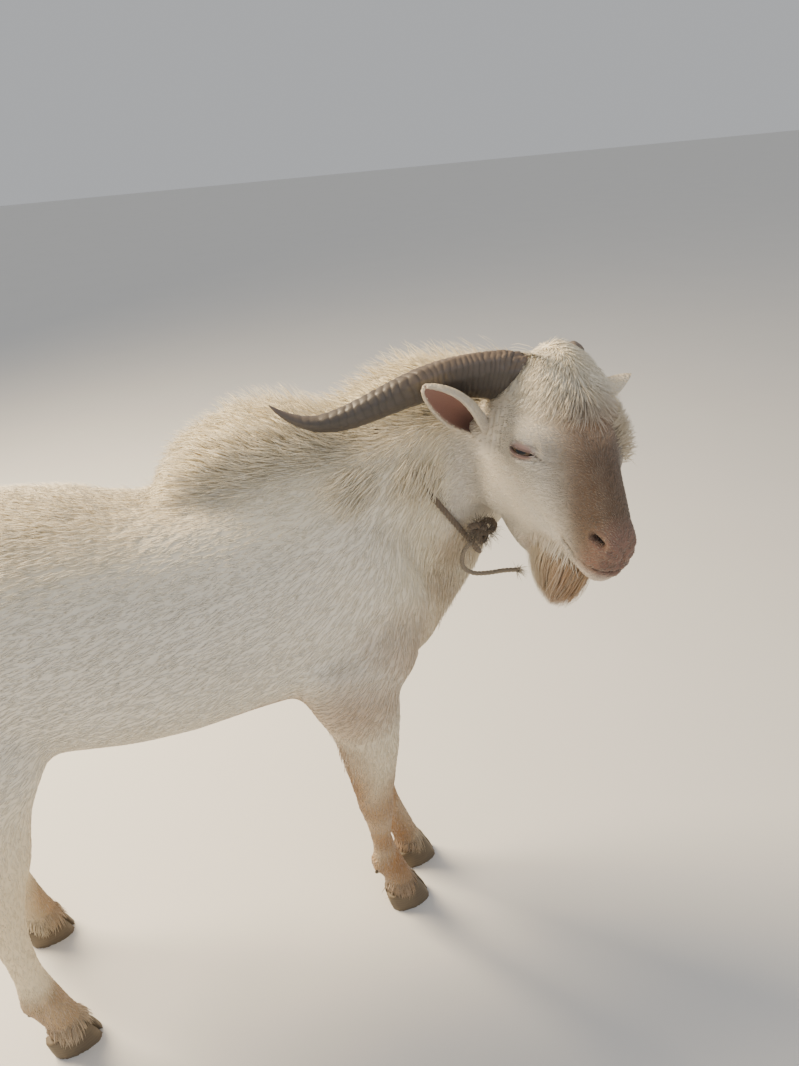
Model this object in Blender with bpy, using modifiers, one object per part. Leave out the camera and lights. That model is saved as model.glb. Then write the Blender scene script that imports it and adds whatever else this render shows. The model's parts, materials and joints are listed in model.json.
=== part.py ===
"""A billy goat standing on the floor, its head turned to its right, with a rope collar.

The goat is modelled whole from lofted body, limb and head forms, joined by a voxel remesh,
and parted with thin plane cuts. The solids go out to the tips of the coat.
Working frame: X the way the body points, Y the goat's left, Z up, the floor at zero,
the origin half-way between the front hooves. The last step centres the goat on its box.
"""
import bpy
import bmesh
import math
import numpy as np
from mathutils import Matrix, Vector
from mathutils.bvhtree import BVHTree

# Driving dimensions, in metres
BACK_TOP = 0.792            # highest point of the back, over the coat
BELLY_LOW = 0.438           # lowest point of the belly
BARREL_HALF_WIDTH = 0.150   # the trunk at its widest
FRONT_TRACK = 0.037         # each front hoof from the middle plane
HIND_TRACK = 0.097          # each hind hoof from the middle plane
FRONT_STEP = 0.036          # the left front hoof ahead of the right one
HIND_STEP = -0.048          # the left hind hoof behind the right one
HOOF_LENGTH = 0.066
HOOF_WIDTH = 0.048
HOOF_HEIGHT = 0.037         # under the middle of the coronet
CLOVEN_GAP = 0.005
HOOF_SLOPE = math.radians(17.0)
CLAW_POINTS = 9
HORN_BASE = (0.036, 0.020)  # half thickness up and down its flat side, and through it
HORN_TURN = 70.0            # degrees that the flat side turns from base to tip
EAR_HALF_WIDTH = 0.026
EAR_THICKNESS = 0.006
EAR_STEPS = 6
EAR_LANES = 5
EYE_RADIUS = 0.0145
ROPE_RADIUS = 0.0046
COLLAR_POINTS = 30
COLLAR_PROUD = 0.001        # of the rope's middle line, over the flesh
COLLAR_CENTRE = Vector((0.040, 0.0, 0.732))
COLLAR_AXIS = Vector((0.83, 0.0, 0.55))
GAP = 0.0003                # between neighbouring solids
SLIT = 0.0004               # width of the cuts that part the flesh
VOXEL = 0.0055              # of the remesh that joins the forms
FACES = {"head": 6800, "body": 2800, "legs": 3400}   # fineness of the whole flesh for each region

# The head's own frame: x to the nose, y to its left, z through the forehead
HEAD_AT = Vector((0.172, -0.064, 0.807))
HEAD_TURN = math.radians(-79.0)
HEAD_NOD = math.radians(14.5)
HEAD_TILT = math.radians(-8.0)
HEAD = (Matrix.Translation(HEAD_AT) @ Matrix.Rotation(HEAD_TURN, 4, 'Z')
        @ Matrix.Rotation(HEAD_NOD, 4, 'Y') @ Matrix.Rotation(HEAD_TILT, 4, 'X'))
LEFT = Vector((0, 1, 0))
UP = Vector((0, 0, 1))

# In the head's frame: place on the horn's middle line, and its thickness as a share of the base
HORN_PATHS = {
    -1: [((0.034, -0.018, 0.036), 0.72), ((0.021, -0.042, 0.049), 0.99), ((0.004, -0.071, 0.047), 0.94),
         ((-0.007, -0.105, 0.041), 0.88), ((-0.013, -0.143, 0.031), 0.80), ((-0.019, -0.179, 0.013), 0.72),
         ((-0.027, -0.215, -0.007), 0.62), ((-0.037, -0.249, -0.018), 0.45), ((-0.049, -0.278, -0.013), 0.25),
         ((-0.059, -0.298, -0.001), 0.05)],
    1: [((0.034, 0.014, 0.034), 0.72), ((0.018, 0.033, 0.046), 0.98), ((-0.008, 0.052, 0.044), 0.92),
        ((-0.036, 0.076, 0.030), 0.84), ((-0.064, 0.102, 0.008), 0.76), ((-0.090, 0.130, -0.016), 0.68),
        ((-0.112, 0.161, -0.040), 0.58), ((-0.130, 0.193, -0.058), 0.42), ((-0.144, 0.221, -0.068), 0.24),
        ((-0.154, 0.245, -0.070), 0.05)]}
EAR_TIPS = {-1: Vector((0.051, -0.180, 0.067)), 1: Vector((-0.008, 0.172, 0.022))}
EYE_AT = (0.088, 0.0615, 0.000)
# In the goat's frame
KNOT_AT = Vector((0.106, -0.091, 0.668))
ROPE_END = [(0.090, -0.092, 0.656), (0.080, -0.090, 0.640), (0.080, -0.090, 0.622), (0.092, -0.093, 0.612),
            (0.108, -0.100, 0.612), (0.126, -0.109, 0.616), (0.143, -0.118, 0.618)]


def clear_scene():
    for thing in list(bpy.data.objects):
        bpy.data.objects.remove(thing, do_unlink=True)


def make_collection(name):
    group = bpy.data.collections.new(name)
    bpy.context.scene.collection.children.link(group)
    return group


def new_object(name, mesh, group):
    thing = bpy.data.objects.new(name, mesh)
    group.objects.link(thing)
    return thing


def material(name, colour, roughness):
    made = bpy.data.materials.new(name)
    made.use_nodes = True
    shader = made.node_tree.nodes["Principled BSDF"]
    shader.inputs["Base Color"].default_value = (*colour, 1.0)
    shader.inputs["Roughness"].default_value = roughness
    shader.inputs["Metallic"].default_value = 0.0
    return made


def ring(centre, across, up, half_width, rise, drop, count, square=2.0):
    """One rounded section: half_width to each side, rise above the centre and drop below.
    A square of 2 is an ellipse, and more fills out its corners."""
    points = []
    for step in range(count):
        angle = 2.0 * math.pi * step / count
        wide = math.copysign(abs(math.cos(angle)) ** (2.0 / square), math.cos(angle))
        tall = math.copysign(abs(math.sin(angle)) ** (2.0 / square), math.sin(angle))
        height = rise if tall > 0.0 else drop
        points.append(centre + across * (half_width * wide) + up * (height * tall))
    return points


def loft(name, rings, group):
    """Join sections of equal count into one closed mesh."""
    mesh = bpy.data.meshes.new(name)
    shape = bmesh.new()
    rows = [[shape.verts.new(point) for point in points] for points in rings]
    count = len(rows[0])
    for near, far in zip(rows[:-1], rows[1:]):
        for step in range(count):
            after = (step + 1) % count
            shape.faces.new((near[step], near[after], far[after], far[step]))
    shape.faces.new(rows[0][::-1])
    shape.faces.new(rows[-1])
    bmesh.ops.recalc_face_normals(shape, faces=shape.faces)
    shape.to_mesh(mesh)
    shape.free()
    return new_object(name, mesh, group)


def spline(rows, steps):
    """Points between the rows on a Catmull-Rom curve, each row a tuple of numbers."""
    table = np.array(rows, dtype=float)
    padded = np.vstack([2 * table[0] - table[1], table, 2 * table[-1] - table[-2]])
    out = []
    for index in range(1, len(padded) - 2):
        before, start, end, after = padded[index - 1:index + 3]
        for step in range(steps):
            t = step / steps
            out.append(0.5 * (2 * start + (end - before) * t
                              + (2 * before - 5 * start + 4 * end - after) * t ** 2
                              + (3 * start - before - 3 * end + after) * t ** 3))
    out.append(table[-1])
    return out


def tube_form(name, stations, group, up=Vector((0, 0, 1)), steps=3, count=24):
    """A loft along a bent path: x, y, z, half width, rise and drop at each station."""
    rows = spline(stations, steps)
    centres = [Vector(row[:3]) for row in rows]
    rings = []
    for index, row in enumerate(rows):
        ahead = centres[min(index + 1, len(rows) - 1)] - centres[max(index - 1, 0)]
        across = up.cross(ahead).normalized()
        above = ahead.cross(across).normalized()
        rings.append(ring(centres[index], across, above, row[3], row[4], row[5], count))
    return loft(name, rings, group)


def ball(name, centre, radii, group, turn=Matrix(), frame=Matrix(), fine=(24, 16)):
    """An ellipsoid set at a place in a frame, with fine segments round and down."""
    mesh = bpy.data.meshes.new(name)
    shape = bmesh.new()
    bmesh.ops.create_uvsphere(shape, u_segments=fine[0], v_segments=fine[1], radius=1.0)
    size = Matrix.Diagonal((*radii, 1.0))
    shape.transform(frame @ Matrix.Translation(centre) @ turn @ size)
    shape.to_mesh(mesh)
    shape.free()
    return new_object(name, mesh, group)


def trunk_forms(group):
    """The barrel with its chest, withers, back and sloping croup."""
    depth = BACK_TOP - BELLY_LOW
    wide = BARREL_HALF_WIDTH
    # x, top and bottom as shares of the depth above the belly line, half width as a share
    stations = [
        (-0.670, 0.68, 0.44, 0.24), (-0.650, 0.78, 0.27, 0.53), (-0.600, 0.88, 0.14, 0.77),
        (-0.530, 0.96, 0.08, 0.90), (-0.450, 1.00, 0.05, 0.96), (-0.360, 0.97, 0.01, 1.00),
        (-0.280, 0.91, 0.00, 0.98), (-0.200, 0.92, 0.01, 0.90), (-0.120, 0.96, 0.01, 0.82),
        (-0.050, 0.93, 0.03, 0.76), (0.005, 0.80, 0.07, 0.66), (0.036, 0.62, 0.13, 0.50),
        (0.054, 0.46, 0.23, 0.26)]
    rings = []
    for x, top, bottom, width in spline(stations, 2):
        high = BELLY_LOW + top * depth
        low = BELLY_LOW + bottom * depth
        middle = low + 0.46 * (high - low)
        centre = Vector((x, 0.0, middle))
        rings.append(ring(centre, Vector((0, 1, 0)), Vector((0, 0, 1)), width * wide,
                          high - middle, middle - low, 32))
    loft("form_barrel", rings, group)


def neck_forms(group):
    """The thick neck, bending to the right under the head, with its mane, dewlap and brisket."""
    neck = [
        (-0.130, 0.000, 0.650, 0.100, 0.140, 0.150), (-0.050, 0.000, 0.688, 0.098, 0.128, 0.152),
        (0.025, 0.000, 0.728, 0.087, 0.106, 0.158), (0.085, 0.002, 0.762, 0.078, 0.096, 0.160),
        (0.130, -0.004, 0.786, 0.073, 0.082, 0.132), (0.160, -0.026, 0.802, 0.068, 0.070, 0.100),
        (0.172, -0.060, 0.806, 0.056, 0.058, 0.085)]
    tube_form("form_neck", neck, group)
    crest = [
        (-0.255, 0.000, 0.745, 0.026, 0.012, 0.040), (-0.212, 0.000, 0.786, 0.040, 0.034, 0.060),
        (-0.140, 0.000, 0.806, 0.046, 0.044, 0.060), (-0.090, 0.000, 0.808, 0.046, 0.040, 0.060),
        (-0.038, 0.000, 0.806, 0.042, 0.028, 0.060), (0.012, 0.000, 0.816, 0.044, 0.036, 0.060),
        (0.060, -0.001, 0.830, 0.044, 0.044, 0.055), (0.108, -0.005, 0.834, 0.042, 0.038, 0.050),
        (0.150, -0.024, 0.838, 0.038, 0.034, 0.040), (0.172, -0.050, 0.836, 0.030, 0.026, 0.030)]
    tube_form("form_crest", crest, group)
    dewlap = [
        (0.120, -0.012, 0.680, 0.048, 0.046, 0.046), (0.098, -0.004, 0.610, 0.050, 0.040, 0.040),
        (0.062, 0.000, 0.545, 0.052, 0.033, 0.033), (0.030, 0.000, 0.490, 0.054, 0.030, 0.030),
        (-0.020, 0.000, 0.470, 0.050, 0.030, 0.030)]
    tube_form("form_dewlap", dewlap, group, up=Vector((1, 0, 0)))


def shoulder_forms(side, group):
    """Shoulder blade and upper arm over the ribs."""
    blade = [
        (-0.150, 0.046 * side, 0.755, 0.016, 0.050, 0.050), (-0.095, 0.080 * side, 0.690, 0.028, 0.066, 0.066),
        (-0.045, 0.087 * side, 0.615, 0.032, 0.070, 0.070), (-0.010, 0.076 * side, 0.555, 0.030, 0.055, 0.055),
        (0.000, 0.070 * side, 0.525, 0.022, 0.035, 0.035)]
    tube_form("form_blade", blade, group, up=Vector((1, 0, 0)))
    ball("form_arm", Vector((-0.048, 0.094 * side, 0.508)), (0.080, 0.040, 0.052), group,
         turn=Matrix.Rotation(math.radians(-38.0), 4, 'Y'))


def limb(name, stations, group, count=20, steps=3):
    """A leg as stacked level sections: x, y, z, half fore and aft, half across."""
    rings = []
    for x, y, z, fore, across in spline(stations, steps):
        rings.append(ring(Vector((x, y, z)), Vector((1, 0, 0)), Vector((0, 1, 0)), fore, across, across, count))
    return loft(name, rings, group)


def foreleg_stations(side):
    """From inside the shoulder to inside the hoof; the left leg steps ahead."""
    lead = FRONT_STEP if side > 0 else 0.0
    shape = [  # x, distance from the middle plane, z, half fore and aft, half across, share of the step
        (-0.085, 0.092, 0.530, 0.072, 0.040, 0.0), (-0.076, 0.096, 0.465, 0.064, 0.042, 0.1),
        (-0.062, 0.086, 0.400, 0.050, 0.037, 0.3), (-0.060, 0.074, 0.330, 0.040, 0.032, 0.5),
        (-0.058, 0.063, 0.272, 0.032, 0.029, 0.7), (-0.056, 0.056, 0.236, 0.030, 0.028, 0.8),
        (-0.054, 0.051, 0.200, 0.0235, 0.0235, 0.87), (-0.052, 0.046, 0.160, 0.0200, 0.0190, 0.94),
        (-0.048, 0.042, 0.126, 0.0215, 0.0205, 1.0), (-0.044, 0.039, 0.100, 0.0260, 0.0250, 1.0),
        (-0.034, 0.038, 0.070, 0.0245, 0.0235, 1.0), (-0.024, 0.037, 0.045, 0.0275, 0.0240, 1.0),
        (-0.018, 0.037, 0.022, 0.0240, 0.0210, 1.0)]
    return [(x + share * lead, off * side, z, fore, across) for x, off, z, fore, across, share in shape]


def hindleg_stations(side):
    """From inside the rump to inside the hoof; the left leg steps back."""
    lag = HIND_STEP if side > 0 else 0.0
    shape = [
        (-0.560, 0.070, 0.700, 0.075, 0.042, 0.0), (-0.552, 0.090, 0.620, 0.098, 0.052, 0.0),
        (-0.527, 0.103, 0.545, 0.092, 0.052, 0.1), (-0.514, 0.110, 0.495, 0.079, 0.045, 0.2),
        (-0.520, 0.113, 0.440, 0.057, 0.036, 0.4), (-0.525, 0.113, 0.398, 0.050, 0.030, 0.5),
        (-0.539, 0.112, 0.356, 0.052, 0.0265, 0.65), (-0.546, 0.110, 0.318, 0.040, 0.0265, 0.75),
        (-0.547, 0.107, 0.280, 0.0305, 0.0245, 0.85), (-0.550, 0.105, 0.235, 0.0245, 0.0215, 0.92),
        (-0.550, 0.102, 0.160, 0.0230, 0.0205, 1.0), (-0.548, 0.099, 0.110, 0.0275, 0.0255, 1.0),
        (-0.539, 0.098, 0.075, 0.0255, 0.0240, 1.0), (-0.530, 0.097, 0.046, 0.0280, 0.0245, 1.0),
        (-0.524, 0.097, 0.022, 0.0240, 0.0210, 1.0)]
    return [(x + share * lag, off * side, z, fore, across) for x, off, z, fore, across, share in shape]


def dewclaws(name, stations, group):
    """The two small claws behind a fetlock."""
    x, y, z = stations[-4][:3]
    for turn in (-1, 1):
        ball(name, Vector((x - 0.024, y + 0.011 * turn, z - 0.004)), (0.010, 0.007, 0.012), group)


def head_ball(name, x, y, z, radii, group, nod=0.0):
    """An ellipsoid in the head's frame."""
    turn = Matrix.Rotation(math.radians(nod), 4, 'Y')
    return ball(name, Vector((x, y, z)), radii, group, turn=turn, frame=HEAD)


def head_forms(group):
    """Skull with its forelock, cheeks, brows, muzzle, lips, chin and ear roots."""
    # distance from the nape, profile height, jaw depth, half width, squareness of the section
    stations = [
        (-0.043, 0.040, 0.060, 0.042, 2.0), (-0.020, 0.070, 0.088, 0.055, 2.1), (0.012, 0.094, 0.116, 0.062, 2.3),
        (0.040, 0.099, 0.126, 0.065, 2.5), (0.068, 0.086, 0.125, 0.064, 2.5), (0.094, 0.065, 0.121, 0.059, 2.4),
        (0.117, 0.043, 0.117, 0.055, 2.3), (0.140, 0.021, 0.114, 0.047, 2.2), (0.162, 0.001, 0.111, 0.038, 2.3),
        (0.183, -0.017, 0.108, 0.031, 2.3), (0.200, -0.033, 0.104, 0.027, 2.2), (0.210, -0.048, 0.097, 0.021, 2.0),
        (0.216, -0.060, 0.088, 0.013, 2.0)]
    rings = []
    for x, top, depth, half, square in spline(stations, 2):
        middle = 0.5 * (top - depth)
        flat = ring(Vector((x, 0, middle)), LEFT, UP, half, top - middle, top - middle, 28, square)
        rings.append([HEAD @ point for point in flat])
    loft("form_skull", rings, group)
    head_ball("form_throat", 0.072, 0.0, -0.124, (0.062, 0.030, 0.030), group, nod=14.0)
    head_ball("form_lock", 0.094, 0.060, 0.000, (0.036, 0.028, 0.028), group, nod=25.0)
    head_ball("form_chin", 0.188, 0.0, -0.104, (0.022, 0.021, 0.012), group)
    for side in (-1, 1):
        head_ball("form_cheek", 0.038, 0.046 * side, -0.064, (0.050, 0.021, 0.050), group)
        head_ball("form_brow", 0.086, 0.053 * side, 0.004, (0.032, 0.025, 0.027), group, nod=25.0)
        head_ball("form_nostril", 0.197, 0.014 * side, -0.055, (0.021, 0.013, 0.017), group)
        head_ball("form_lip", 0.188, 0.015 * side, -0.081, (0.029, 0.016, 0.014), group)
        head_ball("form_ear_root", 0.004, 0.056 * side, -0.018, (0.024, 0.020, 0.024), group)


def tail_form(group):
    """The short tail, carried a little up and falling at its tip."""
    tail = [
        (-0.630, 0.000, 0.696, 0.020, 0.018, 0.018), (-0.664, 0.000, 0.710, 0.025, 0.019, 0.020),
        (-0.702, 0.000, 0.722, 0.026, 0.018, 0.021), (-0.736, 0.000, 0.718, 0.024, 0.015, 0.019),
        (-0.762, 0.000, 0.699, 0.017, 0.011, 0.013), (-0.775, 0.000, 0.676, 0.007, 0.005, 0.006)]
    tube_form("form_tail", tail, group, count=16)


def purse_form(group):
    """The buck's purse between the thighs."""
    ball("form_purse", Vector((-0.505, 0.0, 0.430)), (0.034, 0.038, 0.056), group)


def bake_modifiers(thing):
    """Replace an object's mesh by its evaluated one."""
    graph = bpy.context.evaluated_depsgraph_get()
    mesh = bpy.data.meshes.new_from_object(thing.evaluated_get(graph))
    thing.modifiers.clear()
    thing.data = mesh


def join_forms(group, name, home):
    """Join every form into one closed, smoothed surface."""
    shape = bmesh.new()
    for thing in list(group.objects):
        shape.from_mesh(thing.data)
        bpy.data.objects.remove(thing, do_unlink=True)
    mesh = bpy.data.meshes.new(name)
    shape.to_mesh(mesh)
    shape.free()
    body = new_object(name, mesh, home)
    remesh = body.modifiers.new("Remesh", 'REMESH')
    remesh.mode = 'VOXEL'
    remesh.voxel_size = VOXEL
    soften = body.modifiers.new("Smooth", 'SMOOTH')
    soften.factor = 0.5
    soften.iterations = 8
    bake_modifiers(body)
    return body


def thinned(flesh, faces, group):
    """A copy of the whole flesh with about this many triangles."""
    copy = new_object("flesh", flesh.data.copy(), group)
    copy.data.calc_loop_triangles()
    thin = copy.modifiers.new("Decimate", 'DECIMATE')
    thin.ratio = faces / len(copy.data.loop_triangles)
    bake_modifiers(copy)
    return copy


def subtract(thing, cutter):
    """Cut a closed mesh out of an object and keep the result."""
    cut = thing.modifiers.new("Cut", 'BOOLEAN')
    cut.operation = 'DIFFERENCE'
    cut.solver = 'EXACT'
    cut.object = cutter
    bake_modifiers(thing)


def swollen(thing, amount, group):
    """A copy of an object, grown outwards by an even amount, to cut with."""
    copy = new_object("cutter", thing.data.copy(), group)
    for vertex, normal in zip(copy.data.vertices, [v.normal.copy() for v in thing.data.vertices]):
        vertex.co += normal * amount
    copy.hide_render = True
    copy.display_type = 'WIRE'
    return copy


def slab(centre, normal, size, group):
    """A thin plate square to the normal, as wide and tall as size, that parts two nodes."""
    normal = Vector(normal).normalized()
    across = (UP if abs(normal.z) < 0.99 else LEFT).cross(normal).normalized()
    above = normal.cross(across)
    frame = Matrix((across, above, normal)).transposed().to_4x4()
    mesh = bpy.data.meshes.new("cutter")
    shape = bmesh.new()
    bmesh.ops.create_cube(shape, size=1.0)
    shape.transform(Matrix.Translation(Vector(centre)) @ frame @ Matrix.Diagonal((*size, SLIT, 1.0)))
    shape.to_mesh(mesh)
    shape.free()
    cutter = new_object("cutter", mesh, group)
    cutter.hide_render = True
    cutter.display_type = 'WIRE'
    return cutter


def split_loose(thing):
    """Break an object into its separate bodies."""
    bpy.ops.object.select_all(action='DESELECT')
    thing.select_set(True)
    bpy.context.view_layer.objects.active = thing
    bpy.ops.object.mode_set(mode='EDIT')
    bpy.ops.mesh.select_all(action='SELECT')
    bpy.ops.mesh.separate(type='LOOSE')
    bpy.ops.object.mode_set(mode='OBJECT')
    return list(bpy.context.selected_objects)


def box_centre(thing):
    low = np.min([vertex.co for vertex in thing.data.vertices], axis=0)
    high = np.max([vertex.co for vertex in thing.data.vertices], axis=0)
    return Vector((low + high) / 2.0)


def keep_nodes(flesh, names, group):
    """Part the flesh with the plates, and keep only these nodes of it."""
    for place, normal, size in cut_plates():
        subtract(flesh, slab(place, normal, size, group))
    pieces = split_loose(flesh)
    for name in names:
        place = Vector(NODE_PLACES[name])
        nearest = min(pieces, key=lambda piece: (box_centre(piece) - place).length)
        pieces.remove(nearest)
        nearest.name = name
        nearest.data.name = name
    for piece in pieces:
        bpy.data.objects.remove(piece, do_unlink=True)


def cut_plates():
    """Where thin plates part the flesh: centre, normal, and size across and along."""
    plates = [
        ((0.122, -0.035, 0.770), (0.69, -0.72, 0.08), (0.30, 0.36)),
        ((0.000, 0.000, 0.680), (0.894, 0.0, 0.447), (0.30, 0.50)),
        ((-0.420, 0.000, 0.620), (1.0, 0.0, 0.0), (0.40, 0.46)),
        ((-0.688, 0.000, 0.718), (1.0, 0.0, 0.25), (0.10, 0.10))]
    for side in (-1, 1):
        lead = FRONT_STEP if side > 0 else 0.0
        lag = HIND_STEP if side > 0 else 0.0
        plates.append(((-0.065, 0.100 * side, 0.4795), (0.0, -0.47 * side, 0.88), (0.21, 0.13)))
        plates.append(((-0.057 + 0.7 * lead, 0.062 * side, 0.268), (0.0, 0.0, 1.0), (0.10, 0.09)))
        plates.append(((-0.570, 0.105 * side, 0.520), (0.0, -0.743 * side, 0.669), (0.30, 0.20)))
        plates.append(((-0.556 + 0.7 * lag, 0.112 * side, 0.352), (0.0, 0.0, 1.0), (0.14, 0.10)))
    return plates


# Roughly where each node of flesh has the centre of its box
NODE_PLACES = {
    "head": (0.18, -0.13, 0.76), "neck": (0.03, 0.0, 0.72), "trunk": (-0.21, 0.0, 0.62),
    "rump": (-0.54, 0.0, 0.62), "tail": (-0.72, 0.0, 0.71),
    "forearm_right": (-0.065, -0.08, 0.38), "forearm_left": (-0.055, 0.08, 0.38),
    "foreshank_right": (-0.045, -0.045, 0.15), "foreshank_left": (-0.01, 0.045, 0.15),
    "thigh_right": (-0.54, -0.11, 0.46), "thigh_left": (-0.56, 0.11, 0.46),
    "hindshank_right": (-0.555, -0.105, 0.19), "hindshank_left": (-0.60, 0.105, 0.19)}


def coronet_cutter(foot, group):
    """A block under the sloping top of a hoof, which ends the leg there."""
    x, y = foot
    slope = Matrix.Rotation(-HOOF_SLOPE, 4, 'Y')
    mesh = bpy.data.meshes.new("cutter")
    shape = bmesh.new()
    bmesh.ops.create_cube(shape, size=0.09)
    shape.transform(Matrix.Translation((x - 0.010, y, HOOF_HEIGHT + GAP)) @ slope
                    @ Matrix.Translation((0, 0, -0.045)) @ Matrix.Diagonal((1.2, 0.8, 1.0, 1.0)))
    shape.to_mesh(mesh)
    shape.free()
    cutter = new_object("cutter", mesh, group)
    cutter.hide_render = True
    cutter.display_type = 'WIRE'
    return cutter


def claw(name, foot, side, group):
    """Half a cloven hoof: flat sole, straight inner wall, curved outer wall, sloping top."""
    x, y = foot
    levels = [(0.0, 1.0, 0.0), (0.35, 0.95, 0.004), (1.0, 0.80, 0.012)]   # share of height, size, set back
    rings = []
    for share, size, back in levels:
        points = []
        for step in range(CLAW_POINTS):
            along = math.pi * step / (CLAW_POINTS - 1)
            reach = -math.cos(along)
            bulge = math.sin(along) ** 0.75 * (1.0 - 0.22 * reach)
            px = x - back + reach * size * HOOF_LENGTH / 2.0
            py = y + side * (CLOVEN_GAP / 2.0 + 0.0015 + size * bulge * (HOOF_WIDTH - CLOVEN_GAP) / 2.0)
            top = HOOF_HEIGHT + (px - x + 0.010) * math.tan(HOOF_SLOPE)
            points.append(Vector((px, py, share * top)))
        heel, toe = points[0], points[-1]
        heel.y = toe.y = y + side * CLOVEN_GAP / 2.0
        rings.append(points)
    return loft(name, rings, group)


def horn(name, path, side, group):
    """A flattened horn along its own curve, turning a little as it tapers."""
    rows = spline([(*place, share) for place, share in path], 2)
    centres = [HEAD @ Vector(row[:3]) for row in rows]
    rings = []
    for index, row in enumerate(rows):
        ahead = centres[min(index + 1, len(rows) - 1)] - centres[max(index - 1, 0)]
        share = row[3]
        turn = Matrix.Rotation(side * math.radians(HORN_TURN) * (1.0 - share), 4, ahead.normalized())
        keel = (HEAD.to_3x3() @ Vector((0.35, 0, 1))).normalized()
        across = (turn @ keel.cross(ahead)).normalized()
        above = ahead.cross(across).normalized()
        thick = 1.0 + 0.12 * math.sin(math.pi * min(1.0, 1.6 * (1.0 - share)))
        rings.append(ring(centres[index], across, above, HORN_BASE[1] * share * thick, HORN_BASE[0] * share,
                          HORN_BASE[0] * share, 10))
    return loft(name, rings, group)


def ear(name, side, group):
    """A leaf-shaped ear: a cupped sheet from root to tip, made solid."""
    root = Vector((0.002, 0.058 * side, -0.016))
    tip = EAR_TIPS[side]
    axis = tip - root
    open_way = Vector((0.75, 0.20 * side, -0.62))
    open_way = (open_way - axis * (open_way.dot(axis) / axis.length_squared)).normalized()
    across = axis.normalized().cross(open_way)
    mesh = bpy.data.meshes.new(name)
    shape = bmesh.new()
    rows = []
    for step in range(EAR_STEPS + 1):
        t = step / EAR_STEPS
        half = EAR_HALF_WIDTH * (0.42 + 1.15 * t - 1.45 * t ** 3) if t < 1.0 else EAR_HALF_WIDTH * 0.12
        curl = math.radians(118.0 - 70.0 * t)
        radius = half / math.sin(min(curl, math.pi / 2))
        middle = root + axis * t + open_way * (-0.006 * math.sin(math.pi * t))
        row = []
        for lane in range(EAR_LANES + 1):
            angle = curl * (2.0 * lane / EAR_LANES - 1.0)
            point = middle + across * (radius * math.sin(angle)) + open_way * (radius * (0.75 - math.cos(angle)))
            row.append(shape.verts.new(HEAD @ point))
        rows.append(row)
    for low, high in zip(rows[:-1], rows[1:]):
        for lane in range(EAR_LANES):
            shape.faces.new((low[lane], low[lane + 1], high[lane + 1], high[lane]))
    shape.to_mesh(mesh)
    shape.free()
    made = new_object(name, mesh, group)
    wall = made.modifiers.new("Wall", 'SOLIDIFY')
    wall.thickness = EAR_THICKNESS
    wall.offset = 0.0
    bake_modifiers(made)
    shape = bmesh.new()
    shape.from_mesh(made.data)
    bmesh.ops.recalc_face_normals(shape, faces=shape.faces)
    shape.to_mesh(made.data)
    shape.free()
    return made


def beard(group):
    """The beard under the chin, a flattened cone of hair."""
    stations = [(0.136, 0.0, -0.098, 0.046, 0.027), (0.134, 0.0, -0.125, 0.048, 0.029),
                (0.137, 0.0, -0.150, 0.040, 0.026), (0.142, 0.0, -0.173, 0.025, 0.017),
                (0.147, 0.0, -0.191, 0.005, 0.005)]
    made = limb("beard", stations, group, count=10, steps=2)
    made.data.transform(HEAD)
    return made


def rope(name, points, radius, closed, group):
    """A rope as a bevelled poly curve, made a mesh with its caps welded."""
    curve = bpy.data.curves.new(name, 'CURVE')
    curve.dimensions = '3D'
    curve.bevel_depth = radius
    curve.bevel_resolution = 1
    curve.use_fill_caps = True
    line = curve.splines.new('POLY')
    line.points.add(len(points) - 1)
    for spot, place in zip(line.points, points):
        spot.co = (*place, 1.0)
    line.use_cyclic_u = closed
    drawn = new_object("drawn", curve, group)
    graph = bpy.context.evaluated_depsgraph_get()
    mesh = bpy.data.meshes.new_from_object(drawn.evaluated_get(graph))
    bpy.data.objects.remove(drawn, do_unlink=True)
    shape = bmesh.new()
    shape.from_mesh(mesh)
    bmesh.ops.remove_doubles(shape, verts=shape.verts, dist=0.00005)
    bmesh.ops.recalc_face_normals(shape, faces=shape.faces)
    shape.to_mesh(mesh)
    shape.free()
    return new_object(name, mesh, group)


def collar_points(flesh):
    """The rope's line round the neck, in the collar's plane, where the flesh ends."""
    body = bmesh.new()
    body.from_mesh(flesh.data)
    tree = BVHTree.FromBMesh(body)
    body.free()
    up = LEFT.cross(COLLAR_AXIS).normalized()
    reach = []
    for step in range(COLLAR_POINTS):
        angle = 2.0 * math.pi * step / COLLAR_POINTS
        way = LEFT * math.cos(angle) + up * math.sin(angle)
        reach.append((way, tree.ray_cast(COLLAR_CENTRE, way)[3]))
    points = []
    for step, (way, distance) in enumerate(reach):
        beside = reach[step - 1][1] + reach[(step + 1) % COLLAR_POINTS][1]
        points.append(COLLAR_CENTRE + way * (0.5 * distance + 0.25 * beside + COLLAR_PROUD))
    return points


def paint(thing, made):
    thing.data.materials.clear()
    thing.data.materials.append(made)


def shade(thing):
    thing.data.shade_smooth()
    thing.data.set_sharp_from_angle(angle=math.radians(50.0))


def centre_on_box(things):
    """Put the goat's origin under the centre of its box, on the floor."""
    corners = np.array([vertex.co for thing in things for vertex in thing.data.vertices])
    low, high = corners.min(axis=0), corners.max(axis=0)
    shift = Matrix.Translation((-(low[0] + high[0]) / 2.0, -(low[1] + high[1]) / 2.0, -low[2]))
    for thing in things:
        thing.data.transform(shift)


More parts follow.
